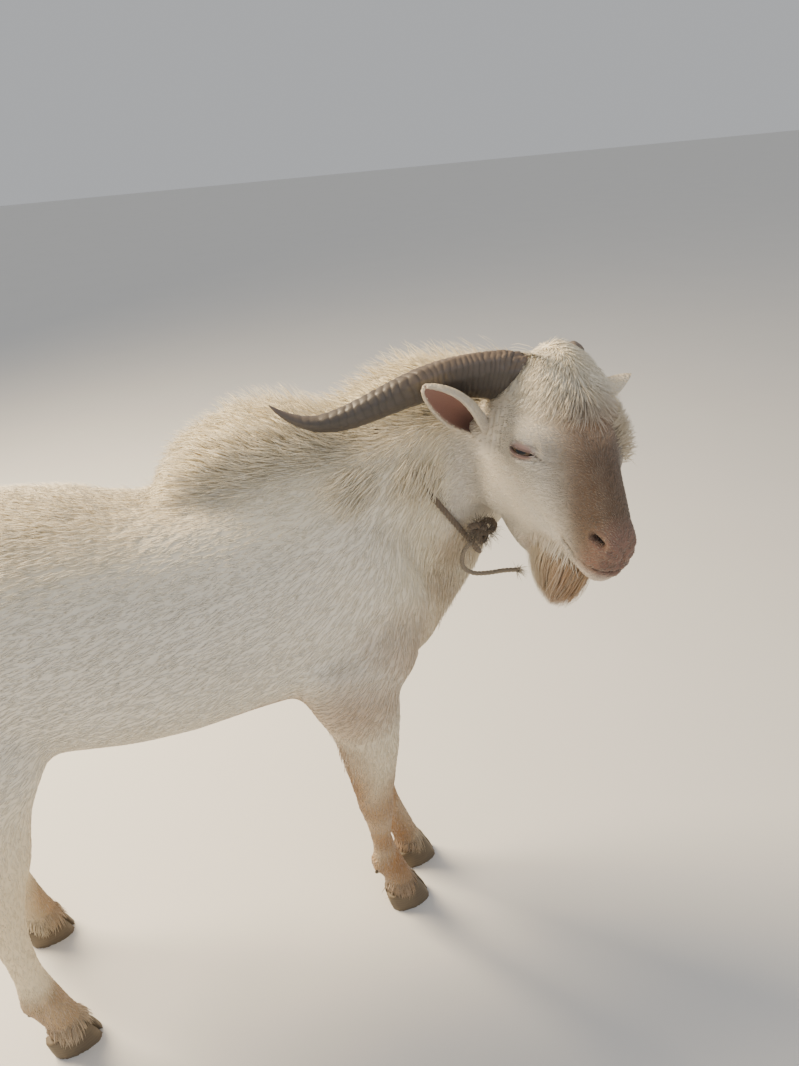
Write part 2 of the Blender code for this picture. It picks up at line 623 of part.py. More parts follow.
def main():
    clear_scene()
    goat = make_collection("goat")
    forms = make_collection("forms")
    cutters = make_collection("cutters")
    feet = {"front_right": (-0.016, -FRONT_TRACK), "front_left": (-0.016 + FRONT_STEP, FRONT_TRACK),
            "hind_right": (-0.526, -HIND_TRACK), "hind_left": (-0.526 + HIND_STEP, HIND_TRACK)}

    trunk_forms(forms)
    neck_forms(forms)
    tail_form(forms)
    purse_form(forms)
    for side in (-1, 1):
        shoulder_forms(side, forms)
        for stations in (foreleg_stations(side), hindleg_stations(side)):
            limb("form_leg", stations, forms)
            dewclaws("form_dewclaw", stations, forms)
    head_forms(forms)
    flesh = join_forms(forms, "flesh", goat)
    head_flesh = thinned(flesh, FACES["head"], goat)
    body_flesh = thinned(flesh, FACES["body"], goat)
    leg_flesh = thinned(flesh, FACES["legs"], goat)
    bpy.data.objects.remove(flesh, do_unlink=True)

    grown = swollen(head_flesh, GAP, cutters)
    for side, word in ((-1, "right"), (1, "left")):
        subtract(horn("horn_" + word, HORN_PATHS[side], side, goat), grown)
        subtract(ear("ear_" + word, side, goat), grown)
    subtract(beard(goat), grown)
    for side, word in ((-1, "right"), (1, "left")):
        eye = ball("eye_" + word, Vector((EYE_AT[0], EYE_AT[1] * side, EYE_AT[2])), (EYE_RADIUS,) * 3,
                   goat, frame=HEAD, fine=(12, 8))
        pit = ball("cutter", Vector((EYE_AT[0], (EYE_AT[1] + 0.020) * side, EYE_AT[2])), (0.017, 0.015, 0.012),
                   cutters, frame=HEAD, fine=(12, 8))
        subtract(head_flesh, pit)
        subtract(head_flesh, swollen(eye, GAP, cutters))
    keep_nodes(head_flesh, ["head"], cutters)

    grown = swollen(body_flesh, GAP, cutters)
    ring_rope = rope("collar_rope", collar_points(body_flesh), ROPE_RADIUS, True, goat)
    ring_space = swollen(ring_rope, GAP, cutters)
    knot = ball("collar_knot", KNOT_AT, (0.023, 0.016, 0.021), goat, fine=(12, 8))
    subtract(knot, ring_space)
    subtract(knot, grown)
    rope_end = rope("collar_end", [Vector(row) for row in spline(ROPE_END, 2)], ROPE_RADIUS * 0.75, False, goat)
    subtract(rope_end, swollen(knot, GAP, cutters))
    subtract(body_flesh, ring_space)
    keep_nodes(body_flesh, ["neck", "trunk", "rump", "tail"], cutters)

    for foot in feet.values():
        subtract(leg_flesh, coronet_cutter(foot, cutters))
    keep_nodes(leg_flesh, [name for name in NODE_PLACES if name.endswith(("right", "left"))], cutters)

    for word, foot in feet.items():
        outward = -1 if "right" in word else 1
        claw("claw_" + word + "_outer", foot, outward, goat)
        claw("claw_" + word + "_inner", foot, -outward, goat)

    for thing in list(cutters.objects):
        bpy.data.objects.remove(thing, do_unlink=True)
    coat = material("coat", (0.83, 0.77, 0.66), 0.9)
    keratin = material("horn", (0.27, 0.21, 0.17), 0.6)
    hoof = material("hoof", (0.42, 0.33, 0.24), 0.6)
    glossy = material("eye", (0.05, 0.03, 0.02), 0.1)
    hemp = material("rope", (0.30, 0.25, 0.21), 0.9)
    finish = {"horn": keratin, "claw": hoof, "eye": glossy, "collar": hemp}
    for thing in goat.objects:
        paint(thing, finish.get(thing.name.split("_")[0], coat))
        shade(thing)
    centre_on_box(goat.objects)


if __name__ == "__main__":
    main()
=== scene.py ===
"""Looks of a life-size billy goat model: skin, coat, horns, hooves, eyes and rope collar."""

import json
import math

import bmesh
import bpy
import numpy as np
from mathutils import Matrix, Vector
from mathutils.bvhtree import BVHTree
from mathutils.geometry import barycentric_transform

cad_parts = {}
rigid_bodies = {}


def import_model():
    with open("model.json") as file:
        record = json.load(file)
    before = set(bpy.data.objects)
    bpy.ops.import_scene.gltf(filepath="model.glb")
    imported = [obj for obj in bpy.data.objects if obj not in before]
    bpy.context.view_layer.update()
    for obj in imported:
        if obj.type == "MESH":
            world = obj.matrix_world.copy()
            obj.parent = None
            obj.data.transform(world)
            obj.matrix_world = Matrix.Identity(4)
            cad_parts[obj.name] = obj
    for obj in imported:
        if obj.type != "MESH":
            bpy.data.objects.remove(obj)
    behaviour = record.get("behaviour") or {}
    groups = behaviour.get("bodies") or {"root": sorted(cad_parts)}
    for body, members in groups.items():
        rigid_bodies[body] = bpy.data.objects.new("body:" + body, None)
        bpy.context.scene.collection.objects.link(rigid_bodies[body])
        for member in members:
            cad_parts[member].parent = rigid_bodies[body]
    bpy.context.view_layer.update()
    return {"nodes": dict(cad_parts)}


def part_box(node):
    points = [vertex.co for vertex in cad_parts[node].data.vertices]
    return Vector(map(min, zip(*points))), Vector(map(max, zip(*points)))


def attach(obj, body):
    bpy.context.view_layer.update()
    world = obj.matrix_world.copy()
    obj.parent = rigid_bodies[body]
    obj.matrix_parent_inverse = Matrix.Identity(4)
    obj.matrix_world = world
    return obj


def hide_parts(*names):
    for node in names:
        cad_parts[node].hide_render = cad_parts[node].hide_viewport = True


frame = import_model()

# ---------------------------------------------------------------- sizes, in metres
HOOF_LENGTH = 0.066
FORE_REACH = 0.016                       # from the fore hoof's middle on to the goat frame's zero
HEAD_AT = (0.172, -0.064, 0.807)         # goat frame
HEAD_YAW, HEAD_NOD, HEAD_TILT = -79.0, 14.5, -8.0
BODY_COAT, LEG_COAT, FOOT_COAT, TAIL_COAT = 0.0062, 0.0034, 0.0022, 0.0040
SKIN_VOXEL, HORN_VOXEL, HOOF_VOXEL = 0.0066, 0.0013, 0.0016
EYE_AT = (0.088, 0.0615, 0.000)          # head frame, on the left
BALL_RADIUS = 0.0138                     # the eyeball in its socket
LID_WALL = 0.0017                        # eyelid over the eyeball
SLIT_HALF = 0.0150                       # eye opening, half its length
SLIT_UPPER = 0.0012                      # and how far it opens up
SLIT_LOWER = 0.0026                      # and down
EAR_HALF_WIDTH = 0.026
EAR_WALL = 0.0030
EAR_ROOT = (0.002, 0.058, -0.016)
EAR_TIPS = {-1: (0.051, -0.180, 0.067), 1: (-0.008, 0.172, 0.022)}
ROPE_LAY = 0.021                         # one turn of the rope's strands
RING_PITCH = 0.0048                      # growth rings of the horn
HOOF_LINE_PITCH = 0.0052                 # growth lines of the hoof
KNOT_AT = (0.106, -0.091, 0.668)         # goat frame
ROPE_END = [(0.090, -0.092, 0.656), (0.080, -0.090, 0.640), (0.080, -0.090, 0.622), (0.092, -0.093, 0.612),
            (0.108, -0.100, 0.612), (0.126, -0.109, 0.616), (0.143, -0.118, 0.618)]
FETLOCKS = [(-0.048, -0.038, 0.103), (-0.012, 0.038, 0.103), (-0.548, -0.099, 0.107), (-0.596, 0.099, 0.107)]
PIECE_LOCKS = 19000                      # most locks of hair in one piece
FLESH = ["head", "neck", "trunk", "rump", "tail", "forearm_left", "forearm_right", "foreshank_left",
         "foreshank_right", "thigh_left", "thigh_right", "hindshank_left", "hindshank_right"]
FRONT_CLAWS = ["claw_front_left_inner", "claw_front_left_outer", "claw_front_right_inner",
               "claw_front_right_outer"]
HIND_CLAWS = [name.replace("front", "hind") for name in FRONT_CLAWS]
# mane: x, y and z of the middle of the crest, goat frame
CREST = np.array([(-0.255, 0.000, 0.745), (-0.212, 0.000, 0.786), (-0.140, 0.000, 0.806),
                  (-0.090, 0.000, 0.808), (-0.038, 0.000, 0.806), (0.012, 0.000, 0.816),
                  (0.060, -0.001, 0.830), (0.108, -0.005, 0.834), (0.150, -0.024, 0.838),
                  (0.172, -0.050, 0.836)])
# horn middle lines, head frame
HORN_LINES = {
    -1: [(0.034, -0.018, 0.036), (0.021, -0.042, 0.049), (0.004, -0.071, 0.047), (-0.007, -0.105, 0.041),
         (-0.013, -0.143, 0.031), (-0.019, -0.179, 0.013), (-0.027, -0.215, -0.007),
         (-0.037, -0.249, -0.018), (-0.049, -0.278, -0.013), (-0.059, -0.298, -0.001)],
    1: [(0.034, 0.014, 0.034), (0.018, 0.033, 0.046), (-0.008, 0.052, 0.044), (-0.036, 0.076, 0.030),
        (-0.064, 0.102, 0.008), (-0.090, 0.130, -0.016), (-0.112, 0.161, -0.040), (-0.130, 0.193, -0.058),
        (-0.144, 0.221, -0.068), (-0.154, 0.245, -0.070)]}
# beard: x, y, z, half fore and aft, half across, head frame
BEARD = np.array([(0.136, 0.0, -0.098, 0.046, 0.027), (0.134, 0.0, -0.125, 0.048, 0.029),
                  (0.137, 0.0, -0.150, 0.040, 0.026), (0.142, 0.0, -0.173, 0.025, 0.017),
                  (0.147, 0.0, -0.191, 0.008, 0.006)])
# lines pressed into the left of the face, head frame
NOSTRIL = np.array([(0.207, 0.0085, -0.064), (0.205, 0.0150, -0.058), (0.199, 0.0215, -0.053),
                    (0.190, 0.0255, -0.050)])
MOUTH = np.array([(0.157, 0.0350, -0.0740), (0.178, 0.0300, -0.0860), (0.194, 0.0262, -0.0874),
                  (0.206, 0.0205, -0.0864), (0.2145, 0.0, -0.0835)])
CHEEK_FOLD = np.array([(-0.012, 0.066, 0.000), (-0.020, 0.064, -0.045), (-0.010, 0.056, -0.095)])
JAW_FOLD = np.array([(0.080, 0.056, -0.040), (0.120, 0.046, -0.058), (0.150, 0.040, -0.072)])
# and beside the eye, in the eye's own frame
TEAR_DUCT = [(0.0140, -0.0006, 0.0), (0.0220, -0.0026, 0.0), (0.0310, -0.0060, 0.0)]
OUTER_FOLD = [(-0.0145, 0.0010, 0.0), (-0.0200, 0.0036, 0.0)]
# tan places on the left, goat frame, and their mirror images: middle, half sizes, strength
TAN_PLACES = [
    (-0.075, 0.085, 0.470, 0.105, 0.100, 0.085, 0.62), (-0.175, 0.060, 0.455, 0.120, 0.090, 0.045, 0.85),
    (-0.085, 0.070, 0.350, 0.055, 0.060, 0.160, 0.75), (-0.010, 0.075, 0.535, 0.090, 0.095, 0.095, 0.42),
    (0.060, 0.000, 0.560, 0.080, 0.090, 0.140, 0.30), (-0.030, 0.040, 0.230, 0.115, 0.120, 0.185, 0.76),
    (-0.030, 0.040, 0.080, 0.090, 0.090, 0.095, 0.85), (-0.540, 0.100, 0.085, 0.080, 0.060, 0.075, 0.75),
    (-0.590, 0.110, 0.360, 0.060, 0.060, 0.090, 0.42), (-0.480, 0.030, 0.440, 0.120, 0.070, 0.070, 0.50),
    (0.090, 0.040, 0.650, 0.060, 0.070, 0.060, 0.35), (-0.660, 0.040, 0.640, 0.050, 0.060, 0.090, 0.30)]

# ---------------------------------------------------------------- frames
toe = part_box("claw_front_right_outer")[1]
rows = [sum(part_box(name)[end].y for end in (0, 1)) / 2 for name in FRONT_CLAWS]
GOAT = Matrix.Translation((toe.x - HOOF_LENGTH / 2 + FORE_REACH, sum(rows) / 4, 0.0))
HEAD = GOAT @ Matrix.Translation(HEAD_AT)
for degrees, axis in ((HEAD_YAW, 'Z'), (HEAD_NOD, 'Y'), (HEAD_TILT, 'X')):
    HEAD = HEAD @ Matrix.Rotation(math.radians(degrees), 4, axis)
SHIFT = np.array(GOAT.translation)
HEAD_TURN = np.array(HEAD.to_3x3())
HEAD_PLACE = np.array(HEAD.translation)


def to_head(points):
    return (points - HEAD_PLACE) @ HEAD_TURN


def from_head(points):
    return np.asarray(points, float) @ HEAD_TURN.T + HEAD_PLACE


def smooth(value, low, high):
    """0 below low, 1 above high, eased between; low may be the larger."""
    share = np.clip((value - low) / (high - low), 0.0, 1.0)
    return share * share * (3.0 - 2.0 * share)


def fade(value, low, high):
    return 1.0 - smooth(value, low, high)


def blob(points, centre, radii):
    """1 at a centre, falling to 0 at an ellipsoid's edge."""
    away = np.sqrt((((points - np.array(centre)) / np.array(radii)) ** 2).sum(-1))
    return fade(away, 0.35, 1.0)


def moved(start, goal, share):
    """From a start towards a goal, by a share for each row."""
    return start + (goal - start) * (share[:, None] if start.ndim == 2 else share)


def beside(*columns):
    """Numbers and columns of numbers side by side."""
    return np.stack(np.broadcast_arrays(*columns), 1)


def unit(vectors):
    return vectors / np.maximum(np.linalg.norm(vectors, axis=-1, keepdims=True), 1e-9)


def ripple(points, pitch, seed):
    """Soft unevenness between -1 and 1, from a few waves that cross each other."""
    turn = np.random.default_rng(seed)
    total = np.zeros(len(points))
    for octave in range(5):
        way = turn.normal(size=3)
        way *= 2.0 * math.pi / (pitch * (0.7 + 0.16 * octave) * np.linalg.norm(way))
        total += np.sin(points @ way + turn.random() * 6.3)
    return total / 3.2


# ---------------------------------------------------------------- mesh helpers
def select_only(thing):
    for other in bpy.context.view_layer.objects:
        other.select_set(False)
    thing.select_set(True)
    bpy.context.view_layer.objects.active = thing


def open_for_editing(thing):
    select_only(thing)
    bpy.ops.object.mode_set(mode='EDIT')
    bpy.ops.mesh.select_all(action='SELECT')


def finish_with(thing, kind, **settings):
    """Adds a modifier and applies it."""
    step = thing.modifiers.new("step", kind)
    for key, value in settings.items():
        setattr(step, key, value)
    select_only(thing)
    bpy.ops.object.modifier_apply(modifier="step")


def new_piece(name, mesh):
    thing = bpy.data.objects.new(name, mesh)
    bpy.context.scene.collection.objects.link(thing)
    return thing


def point_outwards(mesh, merge=0.0):
    """Turns every face outwards, after doubles are merged where a distance is given."""
    shape = bmesh.new()
    shape.from_mesh(mesh)
    if merge:
        bmesh.ops.remove_doubles(shape, verts=shape.verts, dist=merge)
    bmesh.ops.recalc_face_normals(shape, faces=shape.faces)
    shape.to_mesh(mesh)
    shape.free()


def node_copy(node, name, grow=0.0):
    """A copy of a CAD node with its loose triangles merged, grown a little along its normals."""
    mesh = frame["nodes"][node].data.copy()
    mesh.materials.clear()
    shape = bmesh.new()
    shape.from_mesh(mesh)
    bmesh.ops.remove_doubles(shape, verts=shape.verts, dist=0.00002)
    shape.normal_update()
    for vert in shape.verts:
        vert.co += vert.normal * grow
    shape.to_mesh(mesh)
    shape.free()
    return new_piece(name, mesh)


def join_into(pieces):
    select_only(pieces[0])
    for piece in pieces[1:]:
        piece.select_set(True)
    bpy.ops.object.join()
    return pieces[0]


def read(items, what, kind=np.float32, width=3):
    """A row of numbers from each of a mesh's items."""
    flat = np.empty(len(items) * width, kind)
    items.foreach_get(what, flat)
    return flat.reshape(-1, width)


def read_points(mesh, what="co"):
    return read(mesh.vertices, what).astype(float)


def read_edges(mesh):
    return read(mesh.edges, "vertices", np.int32, 2)


def write_points(mesh, points):
    mesh.vertices.foreach_set("co", points.astype(np.float32).ravel())
    mesh.update()


def write_tint(mesh, name, values):
    """Stores one number or one vector for each vertex, for the materials to read."""
    values = np.asarray(values, np.float32)
    kind, key = ('FLOAT', "value") if values.ndim == 1 else ('FLOAT_VECTOR', "vector")
    mesh.attributes.new(name, kind, 'POINT').data.foreach_set(key, values.ravel())


def relax(points, edges, share, rounds):
    """Moves each point towards the mean of its neighbours, by a share that may differ per point."""
    ends = np.concatenate([edges[:, 0], edges[:, 1]])
    others = np.concatenate([edges[:, 1], edges[:, 0]])
    count = np.maximum(np.bincount(ends, minlength=len(points)), 1)[:, None]
    share = np.asarray(share, float).reshape(-1, 1)
    for _ in range(rounds):
        mean = np.stack([np.bincount(ends, points[others, axis], len(points)) for axis in range(3)], 1)
        points = points + share * (mean / count - points)
    return points


def refine(thing, chosen):
    """Splits the chosen faces once."""
    open_for_editing(thing)
    bpy.ops.mesh.select_mode(type='FACE')
    bpy.ops.mesh.select_all(action='DESELECT')
    bpy.ops.object.mode_set(mode='OBJECT')
    thing.data.polygons.foreach_set("select", chosen)
    bpy.ops.object.mode_set(mode='EDIT')
    bpy.ops.mesh.subdivide(number_cuts=1)
    bpy.ops.object.mode_set(mode='OBJECT')


def largest_part(thing):
    """Keeps the biggest connected part of a mesh."""
    open_for_editing(thing)
    bpy.ops.mesh.separate(type='LOOSE')
    bpy.ops.object.mode_set(mode='OBJECT')
    parts = sorted(bpy.context.selected_objects, key=lambda part: -len(part.data.vertices))
    name = thing.name
    for part in parts[1:]:
        bpy.data.objects.remove(part, do_unlink=True)
    parts[0].name = name
    return parts[0]


def shade(thing):
    thing.data.polygons.foreach_set("use_smooth", np.ones(len(thing.data.polygons), bool))
    thing.data.update()


def curve_between(stops, steps):
    """Points on a Catmull-Rom curve through the stops."""
    table = np.array(stops, dtype=float)
    padded = np.vstack([2 * table[0] - table[1], table, 2 * table[-1] - table[-2]])
    out = []
    for index in range(1, len(padded) - 2):
        before, start, end, after = padded[index - 1:index + 3]
        for t in np.arange(steps) / steps:
            square = (2 * before - 5 * start + 4 * end - after) * t ** 2
            cube = (3 * start - before - 3 * end + after) * t ** 3
            out.append(0.5 * (2 * start + (end - before) * t + square + cube))
    out.append(table[-1])
    return np.array(out)


# ---------------------------------------------------------------- materials
def linear(code):
    """An sRGB hex colour as linear light."""
    parts = [int(code[place:place + 2], 16) / 255.0 for place in (1, 3, 5)]
    return (*[part / 12.92 if part <= 0.04045 else ((part + 0.055) / 1.055) ** 2.4 for part in parts], 1.0)


def apart(millimetres):
    """The scale of a pattern whose marks are so far apart."""
    return 1000.0 / millimetres


def new_material(name, roughness, ior=1.5, **sockets):
    made = bpy.data.materials.new(name)
    made.use_nodes = True
    shader = made.node_tree.nodes["Principled BSDF"]
    for key, value in {"Roughness": roughness, "IOR": ior, **sockets}.items():
        shader.inputs[key.replace("_", " ")].default_value = value
    return made, made.node_tree


def add(tree, kind, out, **inputs):
    """One node with settings, and inputs that are values, hex colours or other outputs; gives an output."""
    made = tree.nodes.new(kind)
    for key, value in inputs.items():
        if hasattr(made, key):
            setattr(made, key, value)
            continue
        socket = made.inputs[int(key[1:]) if key[1:].isdigit() else key]
        if isinstance(value, bpy.types.NodeSocket):
            tree.links.new(value, socket)
        else:
            socket.default_value = linear(value) if isinstance(value, str) else value
    return made.outputs[out]


def layered(tree, colour, *layers):
    """Lays colours over a first one, each by a share: an output, or the name of one of the mesh's tints."""
    for share, over in layers:
        if isinstance(share, str):
            share = add(tree, 'ShaderNodeAttribute', "Fac", attribute_name=share)
        colour = add(tree, 'ShaderNodeMix', 2, data_type='RGBA', i0=share, i6=colour, i7=over)
    return colour


def finish_surface(made, colour, height=None, strength=0.0, depth=0.0):
    """Links a material's colour, and its relief where it has one, and gives the material."""
    tree = made.node_tree
    shader = tree.nodes["Principled BSDF"]
    tree.links.new(colour, shader.inputs["Base Color"])
    if height is not None:
        bump = add(tree, 'ShaderNodeBump', "Normal", Strength=strength, Distance=depth, Height=height)
        tree.links.new(bump, shader.inputs["Normal"])
    return made


def coat_colour(tree, spot):
    """Ivory hair with its cream, tan and dirty places, the same on skin and tufts."""
    cloud = add(tree, 'ShaderNodeTexNoise', "Fac", Scale=apart(45.45), Detail=3.0, Vector=spot)
    fine = add(tree, 'ShaderNodeTexNoise', "Fac", Scale=apart(3.846), Detail=2.0, Vector=spot)
    return layered(tree, "#f0e7d2", (cloud, "#fcf6e8"), (fine, "#f3e9d3"), ("cream", "#f8e8bf"),
                   ("tan", "#a06c30"), ("grime", "#614e38"))


def skin_material():
    """Goat hide under short hair: matt and slightly velvety, bare and pink at lips, lids and ears."""
    made, tree = new_material("goat_hide_with_short_hair", 0.78, 1.45, Sheen_Weight=0.12)
    spot = add(tree, 'ShaderNodeTexCoord', "Object")
    fold = add(tree, 'ShaderNodeTexNoise', "Fac", Scale=apart(1.111), Detail=3.0, Vector=spot)
    pink = layered(tree, "#8f6558", (fold, "#b0857a"))
    # the last layer is painted shade: dark in the face's creases, round the eye slits and deep in the ears'
    # cups
    colour = layered(tree, coat_colour(tree, spot), ("bare", pink), ("painted_shade", "#3a2620"))
    # hairs and pores, drawn coarser than life so that they show
    pores = add(tree, 'ShaderNodeTexNoise', "Fac", Scale=apart(1.25), Detail=2.0, Vector=spot)
    return finish_surface(made, colour, pores, 0.35, 0.0008)


def coat_material():
    """Dry goat hair in locks: each strand has its own tone and a soft sheen, with painted shade darkening it
    towards its root.
    """
    made, tree = new_material("goat_hair_locks", 0.62, 1.55, Sheen_Weight=0.15)
    spot = add(tree, 'ShaderNodeTexCoord', "Object")
    # depth is painted shade at the locks' roots, between the locks
    colour = layered(tree, coat_colour(tree, spot), ("bare", "#bb9a8a"), ("depth", "#cdc2aa"),
                     ("tone", "#fbf7ee"))
    # single hairs, 0.1 mm in life, drawn about 0.4 mm across
    strand = add(tree, 'ShaderNodeTexNoise', "Fac", Scale=apart(0.4167), Detail=1.0, Vector=spot)
    return finish_surface(made, colour, strand, 0.25, 0.0003)


def horn_material():
    """Keratin horn, weathered: waxy grey-brown with fine lengthwise cracks; painted shade darkens its ring
    grooves and its underside, painted light brightens its upper faces.
    """
    made, tree = new_material("weathered_horn_keratin", 0.48, 1.55, Coat_Weight=0.08, Coat_Roughness=0.4)
    spot = add(tree, 'ShaderNodeTexCoord', "Object")
    mottle = add(tree, 'ShaderNodeTexNoise', "Fac", Scale=apart(16.67), Detail=4.0, Vector=spot)
    # over the horn's own colours lie painted light on its top and painted shade underneath and in the ring
    # grooves; the pale tip is the horn's own colour
    colour = layered(tree, "#37322d", (mottle, "#575049"), ("painted_top_light", "#6f6052"), ("lower", "#3e3631"),
                     ("groove", "#352d27"), ("tip", "#a08a7c"))
    grain = add(tree, 'ShaderNodeAttribute', "Vector", attribute_name="grain")
    cracks = add(tree, 'ShaderNodeTexNoise', "Fac", Scale=1.0, Detail=4.0, Vector=grain)
    return finish_surface(made, colour, cracks, 0.5, 0.0006)


def hoof_material():
    """Hoof horn: hard, dull and dusty, pale brown with grey growth bands a few millimetres apart."""
    made, tree = new_material("dusty_hoof_horn", 0.6, 1.52)
    spot = add(tree, 'ShaderNodeTexCoord', "Object")
    bands = add(tree, 'ShaderNodeTexWave', "Fac", bands_direction='Z', Scale=apart(14.29), Distortion=3.0,
                Detail=2.0, Vector=spot)
    dust = add(tree, 'ShaderNodeTexNoise', "Fac", Scale=apart(22.22), Detail=4.0, Vector=spot)
    colour = layered(tree, "#463c30", (bands, "#5b4e3c"), (dust, "#75664f"))
    return finish_surface(made, colour, bands, 0.2, 0.0003)


def eye_material():
    """A wet eyeball: amber iris flecked from the pupil out, a level slit pupil and a clear glossy coat."""
    made, tree = new_material("wet_amber_eye", 0.12, 1.376, Coat_Weight=1.0, Coat_Roughness=0.03)
    # the gaze is each point's place on the ball, across, up and out, in radii
    gaze = add(tree, 'ShaderNodeAttribute', "Vector", attribute_name="gaze")
    flecks = add(tree, 'ShaderNodeTexNoise', "Fac", Scale=9.0, Detail=4.0, Vector=gaze)
    reaches = [add(tree, 'ShaderNodeVectorMath', "Value", operation='LENGTH',
                   i0=add(tree, 'ShaderNodeVectorMath', "Vector", operation='MULTIPLY', i0=gaze, i1=squash))
               for squash in ((1.0, 1.0, 0.0), (0.42, 1.0, 0.0))]
    # the iris's rim, the white and the slit pupil
    rim, white, pupil = [add(tree, 'ShaderNodeMapRange', "Result", Value=reach, i1=start, i2=end)
                         for reach, start, end in ((reaches[0], 0.62, 0.74), (reaches[0], 0.80, 0.90),
                                                   (reaches[1], 0.19, 0.16))]
    return finish_surface(made, layered(tree, "#3a2814", (flecks, "#6b4b26"), (rim, "#2c1a12"),
                                        (white, "#8b6f5f"), (pupil, "#07080c")))


def rope_material():
    """Old twisted plant-fibre rope: dull, dry, grey-brown, fuzzy along its strands."""
    made, tree = new_material("old_twisted_fibre_rope", 0.85, 1.5, Sheen_Weight=0.2)
    spot = add(tree, 'ShaderNodeTexCoord', "Object")
    fibre = add(tree, 'ShaderNodeTexNoise', "Fac", Scale=apart(1.429), Detail=3.0, Vector=spot)
    patch = add(tree, 'ShaderNodeTexNoise', "Fac", Scale=apart(14.29), Detail=3.0, Vector=spot)
    colour = layered(tree, "#4b4037", (fibre, "#8d7d68"), (patch, "#6a5c4c"), ("pale", "#c9bda6"))
    return finish_surface(made, colour, fibre, 0.7, 0.0005)


def floor_material():
    """Smooth matt studio floor paint, pale and even with a faint mottle."""
    made, tree = new_material("pale_studio_paint", 0.8)
    spot = add(tree, 'ShaderNodeTexCoord', "Object")
    mottle = add(tree, 'ShaderNodeTexNoise', "Fac", Scale=apart(333.3), Detail=3.0, Vector=spot)
    return finish_surface(made, layered(tree, "#e2e0dc", (mottle, "#e6e4e0")))


def wear(thing, made):
    thing.data.materials.clear()
    thing.data.materials.append(made)


# ---------------------------------------------------------------- the coat's depth, lie and markings
def crest_at(points):
    """How much a point belongs to the mane (goat frame)."""
    side, high = (np.interp(points[:, 0], CREST[:, 0], CREST[:, column]) for column in (1, 2))
    near = fade(np.abs(points[:, 1] - side), 0.035, 0.085)
    along = smooth(points[:, 0], -0.295, -0.150) * fade(points[:, 0], 0.165, 0.200)
    return near * along * smooth(points[:, 2], high - 0.055, high + 0.026)


def head_share(head, low, high):
    """1 on the head and 0 on the neck and body, eased between two places along it."""
    aside = fade(np.abs(head[:, 1]), 0.072, 0.102)
    return smooth(head[:, 0], low, high) * aside * fade(np.abs(head[:, 2]), 0.130, 0.172)


def coat_depth(row_points):
    """How far the skin lies inside the outline of the coat."""
    head = to_head(row_points)
    x, _, z = (row_points - SHIFT).T
    depth = BODY_COAT + 0.0070 * smooth(z, 0.70, 0.78) * smooth(x, -0.25, -0.32)
    depth = moved(depth, LEG_COAT, fade(z, 0.30, 0.47))
    depth = moved(depth, FOOT_COAT, fade(z, 0.09, 0.16)) * smooth(z, 0.034, 0.058)
    face = 0.0030 - 0.0020 * smooth(head[:, 0], 0.13, 0.185)
    face += 0.007 * blob(head, (0.055, 0.0, 0.095), (0.070, 0.060, 0.050))
    face += 0.010 * blob(head, (0.100, 0.072, 0.0), (0.045, 0.030, 0.040))
    depth = moved(depth, face, head_share(head, -0.035, -0.005))
    return moved(depth, TAIL_COAT, smooth(-x, 0.64, 0.68))


def coat_lie(row_points, normals):
    """The way the hair points on every part of the body, before it is laid on the surface."""
    points = row_points - SHIFT
    x, y, z = points.T
    back, down = np.array([-1.0, 0.0, -0.22]), np.array([-0.14, 0.0, -1.0])
    front = smooth(x, -0.16, 0.05)
    share = np.maximum.reduce([fade(z, 0.40, 0.50), 0.95 * front * fade(z, 0.60, 0.84), 0.55 * front,
                               0.75 * smooth(-x, 0.42, 0.62)])
    belly = fade(z, 0.45, 0.52) * smooth(-normals[:, 2], 0.3, 0.7) * smooth(x, -0.52, -0.45)
    way = back + (down - back) * (share * (1.0 - 0.8 * belly))[:, None]
    swirl = blob(points * [1, 0, 1], (-0.05, 0.0, 0.60), (0.16, 1.0, 0.13))
    way = way + swirl[:, None] * np.array([-0.25, 0.0, -0.35])
    way = moved(way, beside(-0.85, 0.25 * np.sign(y), 0.25), crest_at(points))
    way = moved(way, beside(-1.0, 0.0, -0.1 - 2.2 * smooth(-x, 0.70, 0.77)), smooth(-x, 0.655, 0.69))
    # the head: back and down over the cheeks, forward and outward from the poll over the forehead
    head = to_head(row_points)
    hx, hy, hz = head.T
    part = np.tanh(hy / 0.012)
    face = beside(-1.0, 0.12 * part, -0.35 - 0.25 * smooth(hx, 0.10, 0.02))
    lock = smooth(hz, 0.030, 0.062) * smooth(hx, -0.02, 0.01) * fade(hx, 0.128, 0.150)
    face = moved(face, beside(0.55 + 0.2 * smooth(hx, 0.06, 0.11), part, -0.45), lock)
    brow = blob(head, (0.100, 0.075, 0.0), (0.045, 0.030, 0.040))
    face = face + brow[:, None] * np.array([1.3, 0.9, 0.15])
    face = moved(face, np.array([-0.4, 0.0, -0.7]), 0.5 * smooth(-hz, 0.09, 0.12))
    return unit(moved(way, face @ HEAD_TURN.T, head_share(head, -0.045, 0.005)))


